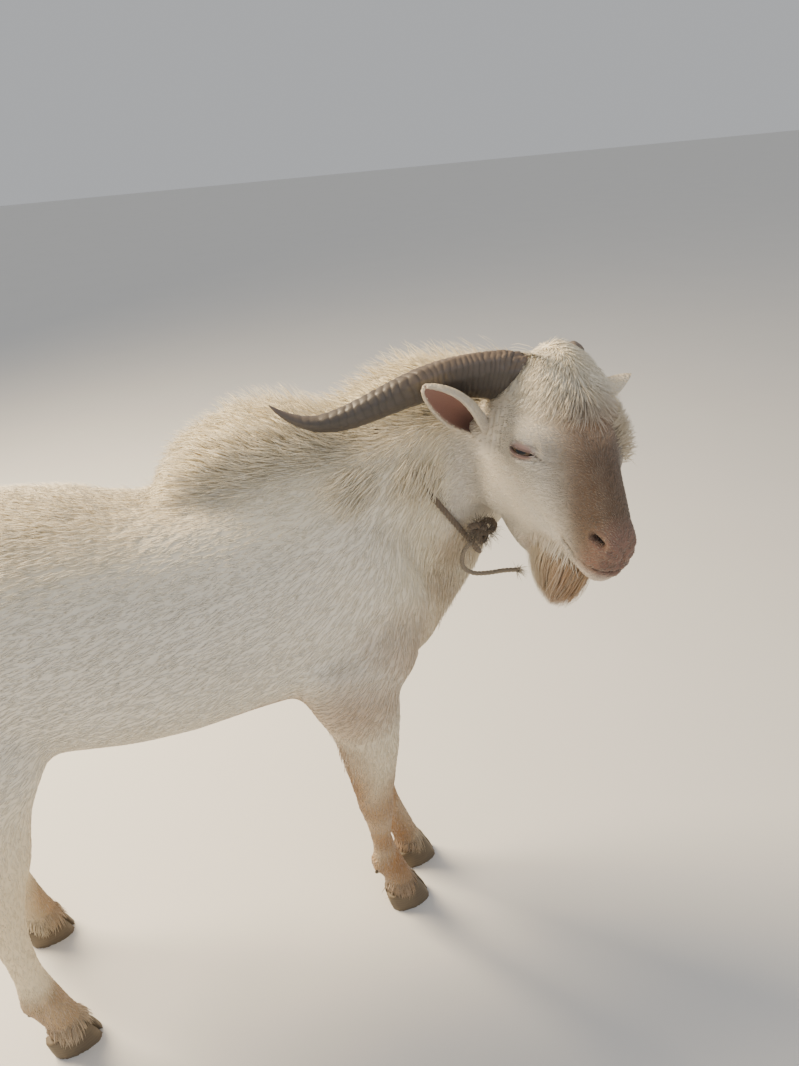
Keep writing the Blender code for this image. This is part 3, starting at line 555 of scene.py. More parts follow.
def markings(row_points):
    """The coat's cream, tan and dirty places and the bare skin, each from 0 to 1."""
    points = row_points - SHIFT
    head = to_head(row_points)
    x, y, z = points.T
    hx, _, hz = head.T
    flat = beside(x, np.abs(y), z)
    uneven = 0.5 + 0.5 * ripple(points, 0.085, 3)
    speck = 0.5 + 0.5 * ripple(points, 0.016, 4)
    on_head = head_share(head, -0.040, 0.010)
    body = 1.0 - on_head
    legs = fade(z, 0.30, 0.56)
    tan = np.zeros(len(x))
    for *place, strength in TAN_PLACES:
        tan = np.maximum(tan, strength * blob(flat, place[:3], place[3:]))
    tan = np.maximum.reduce([tan * (0.75 + 0.45 * uneven) * body, 0.14 * legs * body,
                             0.70 * on_head * blob(head, (0.118, 0.004, 0.030), (0.052, 0.058, 0.040)),
                             0.55 * on_head * blob(head, (0.125, 0.0, -0.122), (0.060, 0.045, 0.026))])
    # brown from the brow to the corner of the mouth and all that lies in front of that
    dusty = smooth(hx + 0.63 * hz, 0.090, 0.150) * fade(hz, 0.010, 0.052) * smooth(hz, -0.100, -0.086)
    feet = fade(z, 0.040, 0.130) * (0.55 + 0.35 * speck)
    hind = blob(flat, (-0.545, 0.100, 0.105), (0.060, 0.060, 0.060))
    grime = np.maximum.reduce([on_head * dusty * (0.96 + 0.04 * speck),
                               0.30 * on_head * blob(head, (0.095, -0.010, 0.060), (0.055, 0.040, 0.045)),
                               0.55 * feet, 0.5 * hind * speck,
                               0.10 * body * smooth(speck * uneven, 0.45, 0.8)])
    cream = np.maximum.reduce([0.45 * crest_at(points) + 0.35 * smooth(z, 0.66, 0.78) * body,
                               0.40 * on_head * smooth(hz, 0.05, 0.09), 0.75 * legs,
                               0.55 * body * smooth(x, -0.06, 0.06)])
    muzzle = smooth(hx + 0.25 * (-0.06 - hz), 0.168, 0.204)
    lids = np.zeros(len(x))
    for side in (-1, 1):
        centre, axes = eye_frame(side)
        along, across, out = ((head - centre) @ axes).T
        close = fade(np.hypot(along / 1.6, across), 0.0060, 0.0125)
        lids = np.maximum(lids, close * (np.abs(out - 0.010) < 0.014))
    bare = on_head * np.maximum.reduce([0.48 * muzzle * (0.75 + 0.25 * speck), 0.85 * lids,
                                        0.10 * fade(hz, 0.03, 0.06)])
    return {"cream": cream, "tan": np.clip(tan, 0, 1), "grime": np.clip(grime, 0, 1), "bare": bare}


# ---------------------------------------------------------------- the face
def eye_frame(side):
    """The eye's centre, and its axes as columns: along the slit, up across it, and outwards."""
    out = unit(np.array([0.46, 0.85 * side, 0.22]))
    along = np.array([0.869, -0.489 * side, 0.072])
    along = unit(along - out * (along @ out))
    up = -side * np.cross(out, along)
    return EYE_AT * np.array([1, side, 1]) - 0.0016 * out, np.stack([along, up, out], 1)


def near_eyes(head):
    near = np.zeros(len(head))
    for side in (-1, 1):
        near = np.maximum(near, fade(np.linalg.norm(head - eye_frame(side)[0], axis=1), 0.018, 0.034))
    return near


def near_line(points, stops):
    """Distance from each point to a bent line, and the share along it."""
    best = np.full(len(points), 9.0)
    where = np.zeros(len(points))
    line = np.array(stops)
    for index, (start, end) in enumerate(zip(line[:-1], line[1:])):
        run = end - start
        share = np.clip(((points - start) @ run) / (run @ run), 0.0, 1.0)
        away = np.linalg.norm(points - start - share[:, None] * run, axis=1)
        closer = away < best
        best[closer] = away[closer]
        where[closer] = (index + share[closer]) / (len(line) - 1)
    return best, where


def press_face(head, side):
    """How deep nostril, lips, tear duct and folds press into one side of the face, and the shade painted into
    them.
    """
    mirror = np.array([1, side, 1])
    away, share = near_line(head, NOSTRIL * mirror)
    wide = 0.0064 * (1.0 - 0.35 * share)
    pit = fade(away, 0.35 * wide, 1.25 * wide)
    push = 0.0095 * pit - 0.0016 * fade(np.abs(away - 0.0072), 0.0, 0.0042)
    away, _ = near_line(head, MOUTH * mirror)
    seam = fade(away, 0.0006, 0.0034)
    push += 0.0034 * seam - 0.0014 * fade(np.abs(away - 0.0065), 0.0, 0.0045) * smooth(head[:, 0], 0.15, 0.17)
    same = smooth(head[:, 1] * side, 0.0, 0.004)
    centre, axes = eye_frame(side)
    place = (head - centre) @ axes
    close = (np.abs(place[:, 2]) < 0.030) * same
    duct, share = near_line(place * [1, 1, 0], TEAR_DUCT)
    push += 0.0022 * close * fade(duct, 0.0004, 0.0030) * (1.0 - 0.6 * share)
    outer, _ = near_line(place * [1, 1, 0], OUTER_FOLD)
    push += 0.0012 * close * fade(outer, 0.0004, 0.0026)
    folds = blob(head, (0.036, 0.066 * side, -0.004), (0.026, 0.022, 0.046)) * same
    pleat = np.sin(2 * math.pi * (head[:, 0] + 0.25 * head[:, 2]) / 0.0085)
    push += 0.0013 * folds * pleat
    push += 0.0045 * fade(near_line(head, CHEEK_FOLD * mirror)[0], 0.002, 0.013)
    push += 0.0022 * fade(near_line(head, JAW_FOLD * mirror)[0], 0.001, 0.012)
    # painted shade in the nostril, along the mouth's seam, in the tear duct, in the fold at the eye's outer
    # corner and in the cheek's pleats
    return push, np.maximum.reduce([smooth(pit, 0.45, 0.95), 0.90 * smooth(seam, 0.35, 0.95),
                                    0.75 * close * fade(duct, 0.0006, 0.0022) * fade(share, 0.6, 1.0),
                                    0.45 * close * fade(outer, 0.0004, 0.0016),
                                    0.22 * folds * smooth(pleat, 0.5, 1.0)])


def set_eyelids(head, side):
    """Lays the skin round one eye over its ball, with slit, rims and creases; also gives the shade painted
    into the slit, beside the rims and in the lower crease.
    """
    centre, axes = eye_frame(side)
    place = (head - centre) @ axes
    along, across, out = place.T
    spread = np.hypot(along, across)
    held = fade(spread, 0.0125, 0.0240) * smooth(out, -0.034, -0.026)
    held = held * (np.linalg.norm(place, axis=1) < 0.045)
    bow = np.clip(1.0 - (along / SLIT_HALF) ** 2, 0.0, 1.0)
    edge = np.where(across > 0, SLIT_UPPER, SLIT_LOWER) * bow ** 0.75
    inside = fade(np.abs(across) - edge, -0.0004, 0.0007) * (np.abs(along) < SLIT_HALF + 0.0005)
    rim = fade(np.abs(np.abs(across) - edge - 0.0016), 0.0, 0.0022)
    rim = rim * fade(np.abs(along), SLIT_HALF, SLIT_HALF + 0.004)
    crease = fade(np.abs(across - 0.0088 + 9.0 * along ** 2), 0.0003, 0.0018)
    lower = fade(np.abs(across + 0.0080 - 7.0 * along ** 2), 0.0003, 0.0018)
    lid = BALL_RADIUS + LID_WALL + 0.0010 * rim - 0.0010 * crease - 0.0013 * lower
    lid = lid + 0.0016 * smooth(across, 0.009, 0.013)
    aim = moved(lid, BALL_RADIUS - 0.0022, inside)
    # a lid follows the ball in front and runs off it in a slope at the sides
    near = np.minimum(spread, 0.0118)
    outer = np.sqrt(np.maximum(aim ** 2 - near ** 2, 1e-6)) - 0.75 * (spread - near)
    place = moved(place, beside(along, across, outer), held)
    # painted shade: deep in the slit, beside the lids' rims and along the crease under the lower lid
    painted_shade = held * np.maximum.reduce([0.9 * inside, 0.50 * rim * (1.0 - inside),
                                     0.45 * lower * fade(np.abs(along), 0.010, 0.018)])
    return place @ axes.T + centre, painted_shade


def shape_face(points, normals):
    """Presses the eyelids, tear ducts, nostrils, lips and folds into the skin; also gives the shade painted
    into them.
    """
    head = to_head(points)
    groove = fade(np.abs(head[:, 1]), 0.0003, 0.0022) * smooth(head[:, 0], 0.196, 0.206)
    push = 0.0022 * groove * smooth(head[:, 2], -0.086, -0.078) * fade(head[:, 2], -0.062, -0.054)
    painted_shade = np.zeros(len(points))
    for side in (-1, 1):
        deep, shadow = press_face(head, side)
        push = push + deep
        painted_shade = np.maximum(painted_shade, shadow)
    head = head - (normals @ HEAD_TURN) * push[:, None]
    for side in (-1, 1):
        head, shadow = set_eyelids(head, side)
        painted_shade = np.maximum(painted_shade, shadow)
    return from_head(head), painted_shade


def ear_sheet(side):
    """One ear, a leaf-shaped cup of thin hide bent from a grid. Also gives, for each point, how far it is
    inside the cup, near its edge, and along it."""
    bpy.ops.mesh.primitive_grid_add(x_subdivisions=26, y_subdivisions=30, size=2.0)
    made = bpy.context.active_object
    made.name = "ear_hide"
    flat = read_points(made.data)
    lane, t = flat[:, 0], np.clip((flat[:, 1] + 1.0) / 2.0, 0.0, 1.0)
    root = EAR_ROOT * np.array([1, side, 1])
    axis = np.array(EAR_TIPS[side]) - root
    open_way = np.array([0.75, 0.20 * side, -0.62])
    open_way = unit(open_way - axis * (open_way @ axis) / (axis @ axis))
    across = np.cross(unit(axis), open_way)
    half = EAR_HALF_WIDTH * np.maximum(0.42 + 1.15 * t - 1.45 * t ** 3, 0.0)
    half = np.maximum(half * (1.0 - smooth(t, 0.93, 1.02) * 0.6), 0.0022)
    curl = np.radians(118.0 - 70.0 * t)
    radius = half / np.sin(np.minimum(curl, math.pi / 2))
    middle = root + axis * t[:, None] + open_way * (-0.006 * np.sin(math.pi * t))[:, None]
    front = -side * lane
    angle = curl * lane * (1.0 + 0.30 * np.clip(front, 0.0, 1.0))
    wave = 0.0012 * np.sin(9.0 * t + 2.0 * side) * np.abs(lane) ** 3
    bent = (middle + across * (radius * np.sin(angle))[:, None]
            + open_way * (radius * (0.75 - np.cos(angle)) + wave)[:, None])
    write_points(made.data, from_head(bent))
    finish_with(made, 'SOLIDIFY', thickness=EAR_WALL, offset=0.0)
    point_outwards(made.data)
    # the wall doubles every point of the sheet
    centre = np.tile(middle + open_way * (0.75 * radius)[:, None], (2, 1))
    deep = np.linalg.norm(to_head(read_points(made.data)) - centre, axis=1) - np.tile(radius, 2)
    edge = np.maximum(np.abs(lane), smooth(front, 0.05, 0.75))
    return made, smooth(-deep, -0.0002, 0.0006), np.tile(edge, 2), np.tile(t, 2)


def relax_head(hide, points, share, rounds):
    """Evens out the head and leaves the rest."""
    head = to_head(points)
    share = share * smooth(head[:, 0], -0.035, -0.02) * (np.abs(head[:, 1]) < 0.095)
    points = relax(points, read_edges(hide.data), share, rounds)
    write_points(hide.data, points)
    return points


def make_skin():
    """One closed hide over the whole goat, inside the outline by the coat's depth, with the face and ears."""
    hide = join_into([node_copy(node, "flesh", 0.0008) for node in FLESH])
    hide.name = "goat_hide"
    finish_with(hide, 'REMESH', mode='VOXEL', voxel_size=SKIN_VOXEL, adaptivity=0.0)
    hide = largest_part(hide)
    points = relax(read_points(hide.data), read_edges(hide.data), 0.5, 7)
    points[:, 2] -= 0.020 * crest_at(points - SHIFT) + 0.005 * fade(points[:, 2], 0.036, 0.070)
    write_points(hide.data, points)
    points -= read_points(hide.data, "normal") * coat_depth(points)[:, None]
    write_points(hide.data, points)
    for eye_reach in (None, 0.034, 0.026):
        middles = to_head(read(hide.data.polygons, "center").astype(float))
        x, y, z = middles.T
        if eye_reach is None:
            chosen = (x > -0.03) & (np.abs(y) < 0.09) & (z > -0.15) & (z < 0.11)
        else:
            chosen = (x > 0.145) & (z < -0.035) & (eye_reach > 0.03)
            for side in (-1, 1):
                chosen |= np.linalg.norm(middles - eye_frame(side)[0], axis=1) < eye_reach
        refine(hide, chosen)
        relax_head(hide, read_points(hide.data), 0.5, 3)
    points, painted_shade = shape_face(read_points(hide.data), read_points(hide.data, "normal"))
    points = relax_head(hide, points, 0.25, 1)
    for name, values in {**markings(points), "painted_shade": painted_shade}.items():
        write_tint(hide.data, name, values)
    body_points = len(points)
    ears = []
    for side in (-1, 1):
        made, inner, edge, along = ear_sheet(side)
        cup = inner * fade(edge, 0.80, 1.0)
        # painted shade deep in each ear's cup, stronger towards its root
        deep = 0.25 + 0.55 * fade(along, 0.02, 0.42)
        for name, values in {"cream": np.full(len(cup), 0.15), "tan": 0.12 * cup,
                             "grime": 0.10 * inner * fade(along, 0.1, 0.5),
                             "bare": np.clip(0.9 * cup + 0.18, 0, 1), "painted_shade": deep * cup}.items():
            write_tint(made.data, name, values)
        ears.append(made)
    join_into([hide, *ears])
    shade(hide)
    return hide, body_points


# ---------------------------------------------------------------- the coat
def scatter(points, triangles, weight, count, chance):
    """Spreads roots over triangles by area and weight: the triangle and the corner shares of each."""
    corners = points[triangles]
    area = np.linalg.norm(np.cross(corners[:, 1] - corners[:, 0], corners[:, 2] - corners[:, 0]), axis=1)
    rising = np.cumsum(area * weight[triangles].mean(1))
    places = (np.arange(count) + chance.random(count)) / count * rising[-1]
    chosen = np.minimum(np.searchsorted(rising, places), len(triangles) - 1)
    one, two = chance.random(count), chance.random(count)
    flip = one + two > 1.0
    one[flip], two[flip] = 1.0 - one[flip], 1.0 - two[flip]
    return chosen, np.stack([1.0 - one - two, one, two], 1)


def at(value, roots):
    """A value that may be a function of the roots."""
    return value(roots) if callable(value) else value


class Patches:
    """Where a root falls on a flat unwrap of the skin's own shape."""

    def __init__(self, hide):
        flat = new_piece("unwrap", hide.data.copy())
        finish_with(flat, 'DECIMATE', ratio=min(1.0, 9000 / len(flat.data.polygons)))
        open_for_editing(flat)
        bpy.ops.uv.smart_project(angle_limit=math.radians(66), island_margin=0.003)
        bpy.ops.object.mode_set(mode='OBJECT')
        mesh = flat.data
        mesh.calc_loop_triangles()
        spots = read(mesh.uv_layers.active.data, "uv", np.float32, 2)
        self.faces = [tuple(tri.vertices) for tri in mesh.loop_triangles]
        spots = [Vector((*spot, 0.0)) for spot in spots.tolist()]
        self.flat = [[spots[loop] for loop in tri.loops] for tri in mesh.loop_triangles]
        self.solid = [Vector(point) for point in read_points(mesh).tolist()]
        self.tree = BVHTree.FromPolygons(self.solid, self.faces)
        bpy.data.objects.remove(flat, do_unlink=True)

    def find(self, roots):
        out = np.empty((len(roots), 2))
        for index, root in enumerate(roots.tolist()):
            near, _, face, _ = self.tree.find_nearest(Vector(root))
            corners = [self.solid[corner] for corner in self.faces[face]]
            out[index] = barycentric_transform(near, *corners, *self.flat[face])[:2]
        return np.clip(out, 0.002, 0.998)


def grow(name, lines, side, top, widths, tints, spots, shade_root=0.5):
    """Closed, thin, three-sided locks along given middle lines, as one joined mesh.

    lines: lock, ring, xyz, the last ring being the tip; widths: lock, ring."""
    locks, rings = lines.shape[0], lines.shape[1] - 1
    body, tip = lines[:, :-1], lines[:, -1:]
    half = 0.5 * widths[..., None]
    wing = side[:, None] * half
    hoop = np.stack([body + wing, body - wing, body + top[:, None] * half * 0.65], 2)
    points = np.concatenate([hoop.reshape(locks, rings * 3, 3), tip], 1)
    faces = [(0, 1, 2)]
    for a in range(0, 3 * rings - 3, 3):
        b, c = a + 1, a + 2
        faces += [(a, b + 3, b), (a, a + 3, b + 3), (a, c, c + 3)]
        faces += [(a, c + 3, a + 3), (c, b, b + 3), (c, b + 3, c + 3)]
    a, b, c, end = 3 * rings - 3, 3 * rings - 2, 3 * rings - 1, 3 * rings
    faces += [(a, end, b), (a, c, end), (c, b, end)]
    each = 3 * rings + 1
    corners = (np.array(faces)[None] + (np.arange(locks) * each)[:, None, None]).reshape(-1)
    mesh = bpy.data.meshes.new(name)
    mesh.vertices.add(locks * each)
    mesh.vertices.foreach_set("co", points.astype(np.float32).ravel())
    mesh.loops.add(len(corners))
    mesh.loops.foreach_set("vertex_index", corners.astype(np.int32))
    mesh.polygons.add(len(corners) // 3)
    mesh.polygons.foreach_set("loop_start", np.arange(0, len(corners), 3, dtype=np.int32))
    mesh.update(calc_edges=True)
    made = new_piece(name, mesh)
    along = np.append(np.repeat(np.arange(rings) / rings, 3), 1.0)
    for key, values in tints.items():
        write_tint(mesh, key, np.repeat(values, each))
    # painted shade at each lock's root, fading out just past its middle
    write_tint(mesh, "depth", np.tile(shade_root * np.clip(1.0 - 1.8 * along, 0.0, 1.0), locks))
    # each lock has a patch 3 mm square at its root's place on the unwrap
    across = np.append(np.tile([1.0, 0.0, 0.5], rings), 0.5)
    placed = spots[:, None] + (np.stack([across, along], 1) * 0.003 - 0.0015)[None]
    mesh.uv_layers.new(name="OFBake").data.foreach_set(
        "uv", placed.reshape(-1, 2)[corners].astype(np.float32).ravel())
    shade(made)
    return made


class Coat:
    """Grows locks on the skin, region by region."""

    def __init__(self, hide, body_points):
        mesh = hide.data
        mesh.calc_loop_triangles()
        self.points = read_points(mesh)
        self.normals = read_points(mesh, "normal")
        self.triangles = read(mesh.loop_triangles, "vertices", np.int32)
        self.bare = read(mesh.attributes["bare"].data, "value", np.float32, 1)[:, 0]
        self.goat = self.points - SHIFT
        self.head = to_head(self.points)
        self.body = np.arange(len(self.points)) < body_points
        self.on_head = head_share(self.head, -0.035, -0.005)
        self.tree = BVHTree.FromPolygons(self.points.tolist(), self.triangles.tolist())
        self.patches = Patches(hide)
        self.material = coat_material()
        self.pieces = []
        self.chance = np.random.default_rng(11)

    def laid(self, places, heights, hug):
        """Places set at their heights above the skin, or, if not hugging it, only lifted clear of it."""
        out = places.copy()
        for index, (place, height) in enumerate(zip(places.tolist(), heights.tolist())):
            near, normal, _, _ = self.tree.find_nearest(place)
            if hug or (Vector(place) - near).dot(normal) < height:
                out[index] = near + normal * height
        return out

    def region(self, name, weight, count, length, width, rings=2, lift=(0.30, 0.06), spread=0.14, droop=0.0,
               way=coat_lie, tone=0.22, tints=None, shade_root=0.18, hug=False, on_ears=False):
        """Locks spread by weight; the length, width, first lift and tints may be functions of the roots."""
        chance = self.chance
        weight = weight * (self.body != on_ears)
        chosen, shares = scatter(self.points, self.triangles, weight, count, chance)
        corners = self.triangles[chosen]
        roots = (self.points[corners] * shares[..., None]).sum(1)
        normals = unit((self.normals[corners] * shares[..., None]).sum(1))
        lie = way(roots, normals)
        lie = unit(lie - normals * (lie * normals).sum(1, keepdims=True))
        turn = spread * (0.6 * chance.normal(size=count) + 0.9 * ripple(roots, 0.024, 21))
        lie = unit(lie * np.cos(turn)[:, None] + np.cross(normals, lie) * np.sin(turn)[:, None])
        side = unit(np.cross(normals, lie))
        long = at(length, roots) * (0.75 + 0.5 * chance.random(count))
        wide = at(width, roots) * (0.75 + 0.5 * chance.random(count))
        start = at(lift[0], roots)
        start = start * (0.8 + 0.5 * chance.random(count)) + 0.10 * ripple(roots, 0.031, 22) * start
        height = -np.minimum(0.0012, 0.10 * long)
        line = [roots + normals * height[:, None]]
        for share in np.linspace(0.0, 1.0, rings):
            rise = start * (1.0 - share) + lift[1] * share
            step = lie * np.cos(rise)[:, None] + normals * np.sin(rise)[:, None]
            step = unit(step + np.array([0.0, 0.0, -droop]) * (share + 0.3))
            height = height + np.sin(rise) * long / rings
            clear = np.maximum(height, 0.0004) if hug else np.full(count, 0.0006)
            line.append(self.laid(line[-1] + step * (long / rings)[:, None], clear, hug))
        lines = np.stack(line, 1)
        lines[..., 2] = np.maximum(lines[..., 2], 0.003)
        values = markings(roots)
        for key, value in (at(tints, roots) or {}).items():
            values[key] = np.zeros(count) + value
        values["tone"] = tone * chance.random(count) ** 1.5 * (1.0 - 0.75 * values["grime"])
        spots = self.patches.find(roots)
        widths = wide[:, None] * np.array([0.80, 1.0, 0.78][:rings])
        for first in range(0, count, PIECE_LOCKS):
            part = slice(first, min(first + PIECE_LOCKS, count))
            tinted = {key: value[part] for key, value in values.items()}
            self.pieces.append(grow(f"{name}_{first // PIECE_LOCKS + 1}", lines[part], side[part],
                                    normals[part], widths[part], tinted, spots[part], shade_root))

    def dress(self):
        """Every region of the coat, short on the face and feet, long on the crest."""
        self.short_coat()
        self.mane_and_back()
        self.head_hair()
        self.long_locks()
        self.ear_hair()
        self.beard()

    def short_coat(self):
        legs = fade(self.goat[:, 2], 0.40, 0.46)

        def body_length(roots):
            x, _, z = (roots - SHIFT).T
            back = smooth(z, 0.68, 0.76) * fade(x, -0.34, -0.26)
            return 0.0150 + 0.006 * back + 0.006 * smooth(x, -0.12, 0.02)

        def back_lift(roots):
            x, _, z = (roots - SHIFT).T
            return 0.15 + 0.50 * smooth(z, 0.70, 0.775) * fade(x, -0.30, -0.25)

        def face_length(roots):
            head = to_head(roots)
            length = 0.0095 - 0.0058 * smooth(head[:, 0], 0.08, 0.17) + 0.008 * fade(head[:, 0], -0.03, 0.03)
            return length + 0.007 * smooth(head[:, 2], 0.04, 0.08) - 0.003 * near_eyes(head)

        sides = (1 - self.on_head) * (1 - legs) * (1 - 0.6 * crest_at(self.goat + [0, 0, 0.020]))
        self.region("coat_body", sides, 50000, body_length, 0.0015, lift=(back_lift, 0.05), shade_root=0.22,
                    hug=True)
        legs = (1 - self.on_head) * legs * (1.0 + 0.8 * (self.goat[:, 2] < 0.16))
        self.region("coat_legs", legs, 17000, lambda roots: 0.0100 + 0.005 * smooth(roots[:, 2], 0.16, 0.44),
                    0.0013, lift=(0.16, 0.03), spread=0.10, shade_root=0.08, hug=True)
        bald = smooth(markings(self.points)["bare"], 0.45, 0.75)
        folds = blob(np.abs(self.head) * [1, 1, 0], (0.036, 0.066, 0.0), (0.026, 0.022, 1.0))
        folds = folds * (np.abs(self.head[:, 2]) < 0.045)
        face = self.on_head * (1 - 0.97 * bald) * (1 + 0.8 * near_eyes(self.head)) * (1 - 0.9 * folds)
        self.region("coat_face", face, 24000, face_length, lambda roots: 0.0006 + 0.06 * face_length(roots),
                    lift=(0.24, 0.05), spread=0.10, shade_root=0.12, hug=True)

    def mane_and_back(self):
        def share_of_mane(roots):
            return crest_at(roots - SHIFT + [0, 0, 0.020])

        def mane_way(roots, normals):
            up = unit(np.array([-0.66, 0.0, 0.55]) + 0.25 * normals)
            return unit(moved(coat_lie(roots, normals), up, share_of_mane(roots)))

        behind_poll = self.head[:, 0] < 0.0
        crest = share_of_mane(self.points)
        self.region("mane", crest ** 0.6 * behind_poll, 10000,
                    lambda roots: 0.016 + 0.017 * share_of_mane(roots), 0.0012, rings=3,
                    lift=(lambda roots: 0.22 + 0.62 * share_of_mane(roots), 0.20), spread=0.16, way=mane_way,
                    tone=0.55, shade_root=0.08)
        self.region("mane_fringe", crest ** 2 * behind_poll, 3000,
                    lambda roots: 0.028 + 0.016 * smooth((roots - SHIFT)[:, 0], -0.22, -0.11), 0.0008,
                    rings=3, lift=(0.95, 0.50), spread=0.35, way=mane_way, shade_root=0.0)
        x, _, z = self.goat.T
        ridge = smooth(z, 0.745, 0.765) * (x < -0.235) * (x > -0.66)
        self.region("back_ridge", ridge, 4000, 0.022, 0.0012, rings=3, lift=(0.65, 0.30), spread=0.22)

    def head_hair(self):
        head = self.head
        hx, hy, hz = head.T
        lock = self.on_head * smooth(hz, 0.042, 0.066) * fade(hx, 0.112, 0.135) * smooth(hx, -0.02, 0.0)
        self.region("forelock", lock, 5000,
                    lambda roots: 0.018 + 0.010 * smooth(to_head(roots)[:, 0], 0.04, 0.10), 0.0011, rings=3,
                    lift=(0.36, 0.06), spread=0.26, droop=0.10,
                    tints=lambda roots: {"tan": 0.50 * smooth(to_head(roots)[:, 0], 0.068, 0.118)})
        brow = blob(head, (0.086, 0.060, 0.030), (0.070, 0.040, 0.056)) * (hy > 0.015) * (1 - near_eyes(head))
        self.region("brow_tuft", brow, 1900, 0.022, 0.0008, rings=3, lift=(0.72, 0.35), spread=0.35,
                    tints=lambda roots: {"cream": 0.8, "tan": 0.16, "grime": 0.25 * markings(roots)["grime"]})
        nape = blob(np.abs(self.goat), (0.038, 0.075, 0.752), (0.034, 0.034, 0.030))
        self.region("neck_locks", nape, 600, 0.036, 0.0012, rings=3, lift=(0.55, 0.15), spread=0.2)
        chin = blob(head, (0.138, 0.0, -0.093), (0.046, 0.060, 0.034))
        self.region("chin_hair", chin, 1100, 0.030, 0.0010, rings=3, lift=(0.25, 0.05), spread=0.2,
                    way=lambda roots, normals: np.tile(HEAD_TURN @ [-0.05, 0.0, -1.0], (len(roots), 1)),
                    tints={"tan": 0.16, "grime": 0.0, "bare": 0.0})

    def long_locks(self):
        x, _, z = self.goat.T
        throat = blob(self.goat, (0.100, -0.01, 0.600), (0.060, 0.075, 0.120)) * (x > 0.03)
        hock = (blob(self.goat * [1, 0, 1], (-0.612, 0.0, 0.37), (0.045, 1.0, 0.06))
                + blob(np.abs(self.goat), (0.085, 0.07, 0.40), (0.040, 0.06, 0.08)))
        for name, weight, count, long, wide, lift in (
                ("throat_hair", throat, 2000, 0.022, 0.0013, (0.30, 0.10)),
                ("tail_hair", smooth(-x, 0.668, 0.70), 2000, 0.026, 0.0013, (0.35, 0.08)),
                ("leg_feather", hock, 1000, 0.016, 0.0012, (0.40, 0.20))):
            self.region(name, weight, count, long, wide, rings=3, lift=lift, spread=0.2)
        crown = smooth(z, 0.036, 0.044) * fade(z, 0.052, 0.062)
        self.region("coronet_hair", crown, 2600, 0.027, 0.0013, rings=3, lift=(0.34, 0.0), spread=0.20,
                    droop=0.25, shade_root=0.2)

    def ear_hair(self):
        """Short hair on the backs of the ears and a fringe along their rims."""
        ways = [unit(np.array(EAR_TIPS[side]) - EAR_ROOT * np.array([1, side, 1])) for side in (-1, 1)]

        def to_tip(roots, normals):
            return np.array(ways)[(to_head(roots)[:, 1] > 0).astype(int)] @ HEAD_TURN.T

        self.region("ear_hair", fade(self.bare, 0.3, 0.7), 4000, 0.0075, 0.0010, lift=(0.20, 0.05),
                    way=to_tip, tints={"bare": 0.12, "tan": 0.0, "grime": 0.0}, hug=True, on_ears=True)

    def beard(self):
        """Long straight hair under the chin, following a flattened cone."""
        chance, count, rings = self.chance, 2600, 4
        around = chance.random(count) * 2.0 * math.pi
        out = np.sqrt(chance.random(count)) * 0.98
        reach = 0.62 + 0.40 * chance.random(count) ** 0.7
        loose = chance.normal(size=count)
        lines = []
        for ring in range(rings + 1):
            t = ring / rings * reach * (len(BEARD) - 1) - 0.25
            x, y, z, fore, wide = (np.interp(t, np.arange(len(BEARD)), column) for column in BEARD.T)
            sway = (0.0022 * np.sin(1.3 * ring + around * 3.0 + 9.0 * out) + 0.0030 * loose) * ring / rings
            lines.append(beside(x + np.cos(around) * out * fore + sway,
                                y + np.sin(around) * out * wide + 0.6 * sway, z + 0.004 * (ring == 0)))
        lines = np.stack(lines, 1)
        facing = beside(np.cos(around), np.sin(around), 0.0)
        side = unit(np.cross(facing, unit(lines[:, -1] - lines[:, 0])))
        world = from_head(lines)
        widths = 0.0012 * (0.7 + 0.6 * chance.random(count))[:, None] * np.linspace(1.0, 0.5, rings)
        front = smooth(lines[:, 2, 0], 0.110, 0.165)
        tan = np.clip(0.12 + 0.52 * front + 0.25 * chance.random(count), 0, 1)
        values = {"cream": np.full(count, 0.6), "tan": tan, "grime": 0.06 * chance.random(count),
                  "bare": np.zeros(count), "tone": 0.25 * chance.random(count) ** 2}
        self.pieces.append(grow("beard_hair", world, side @ HEAD_TURN.T, facing @ HEAD_TURN.T, widths, values,
                                self.patches.find(world[:, 0]), 0.10))


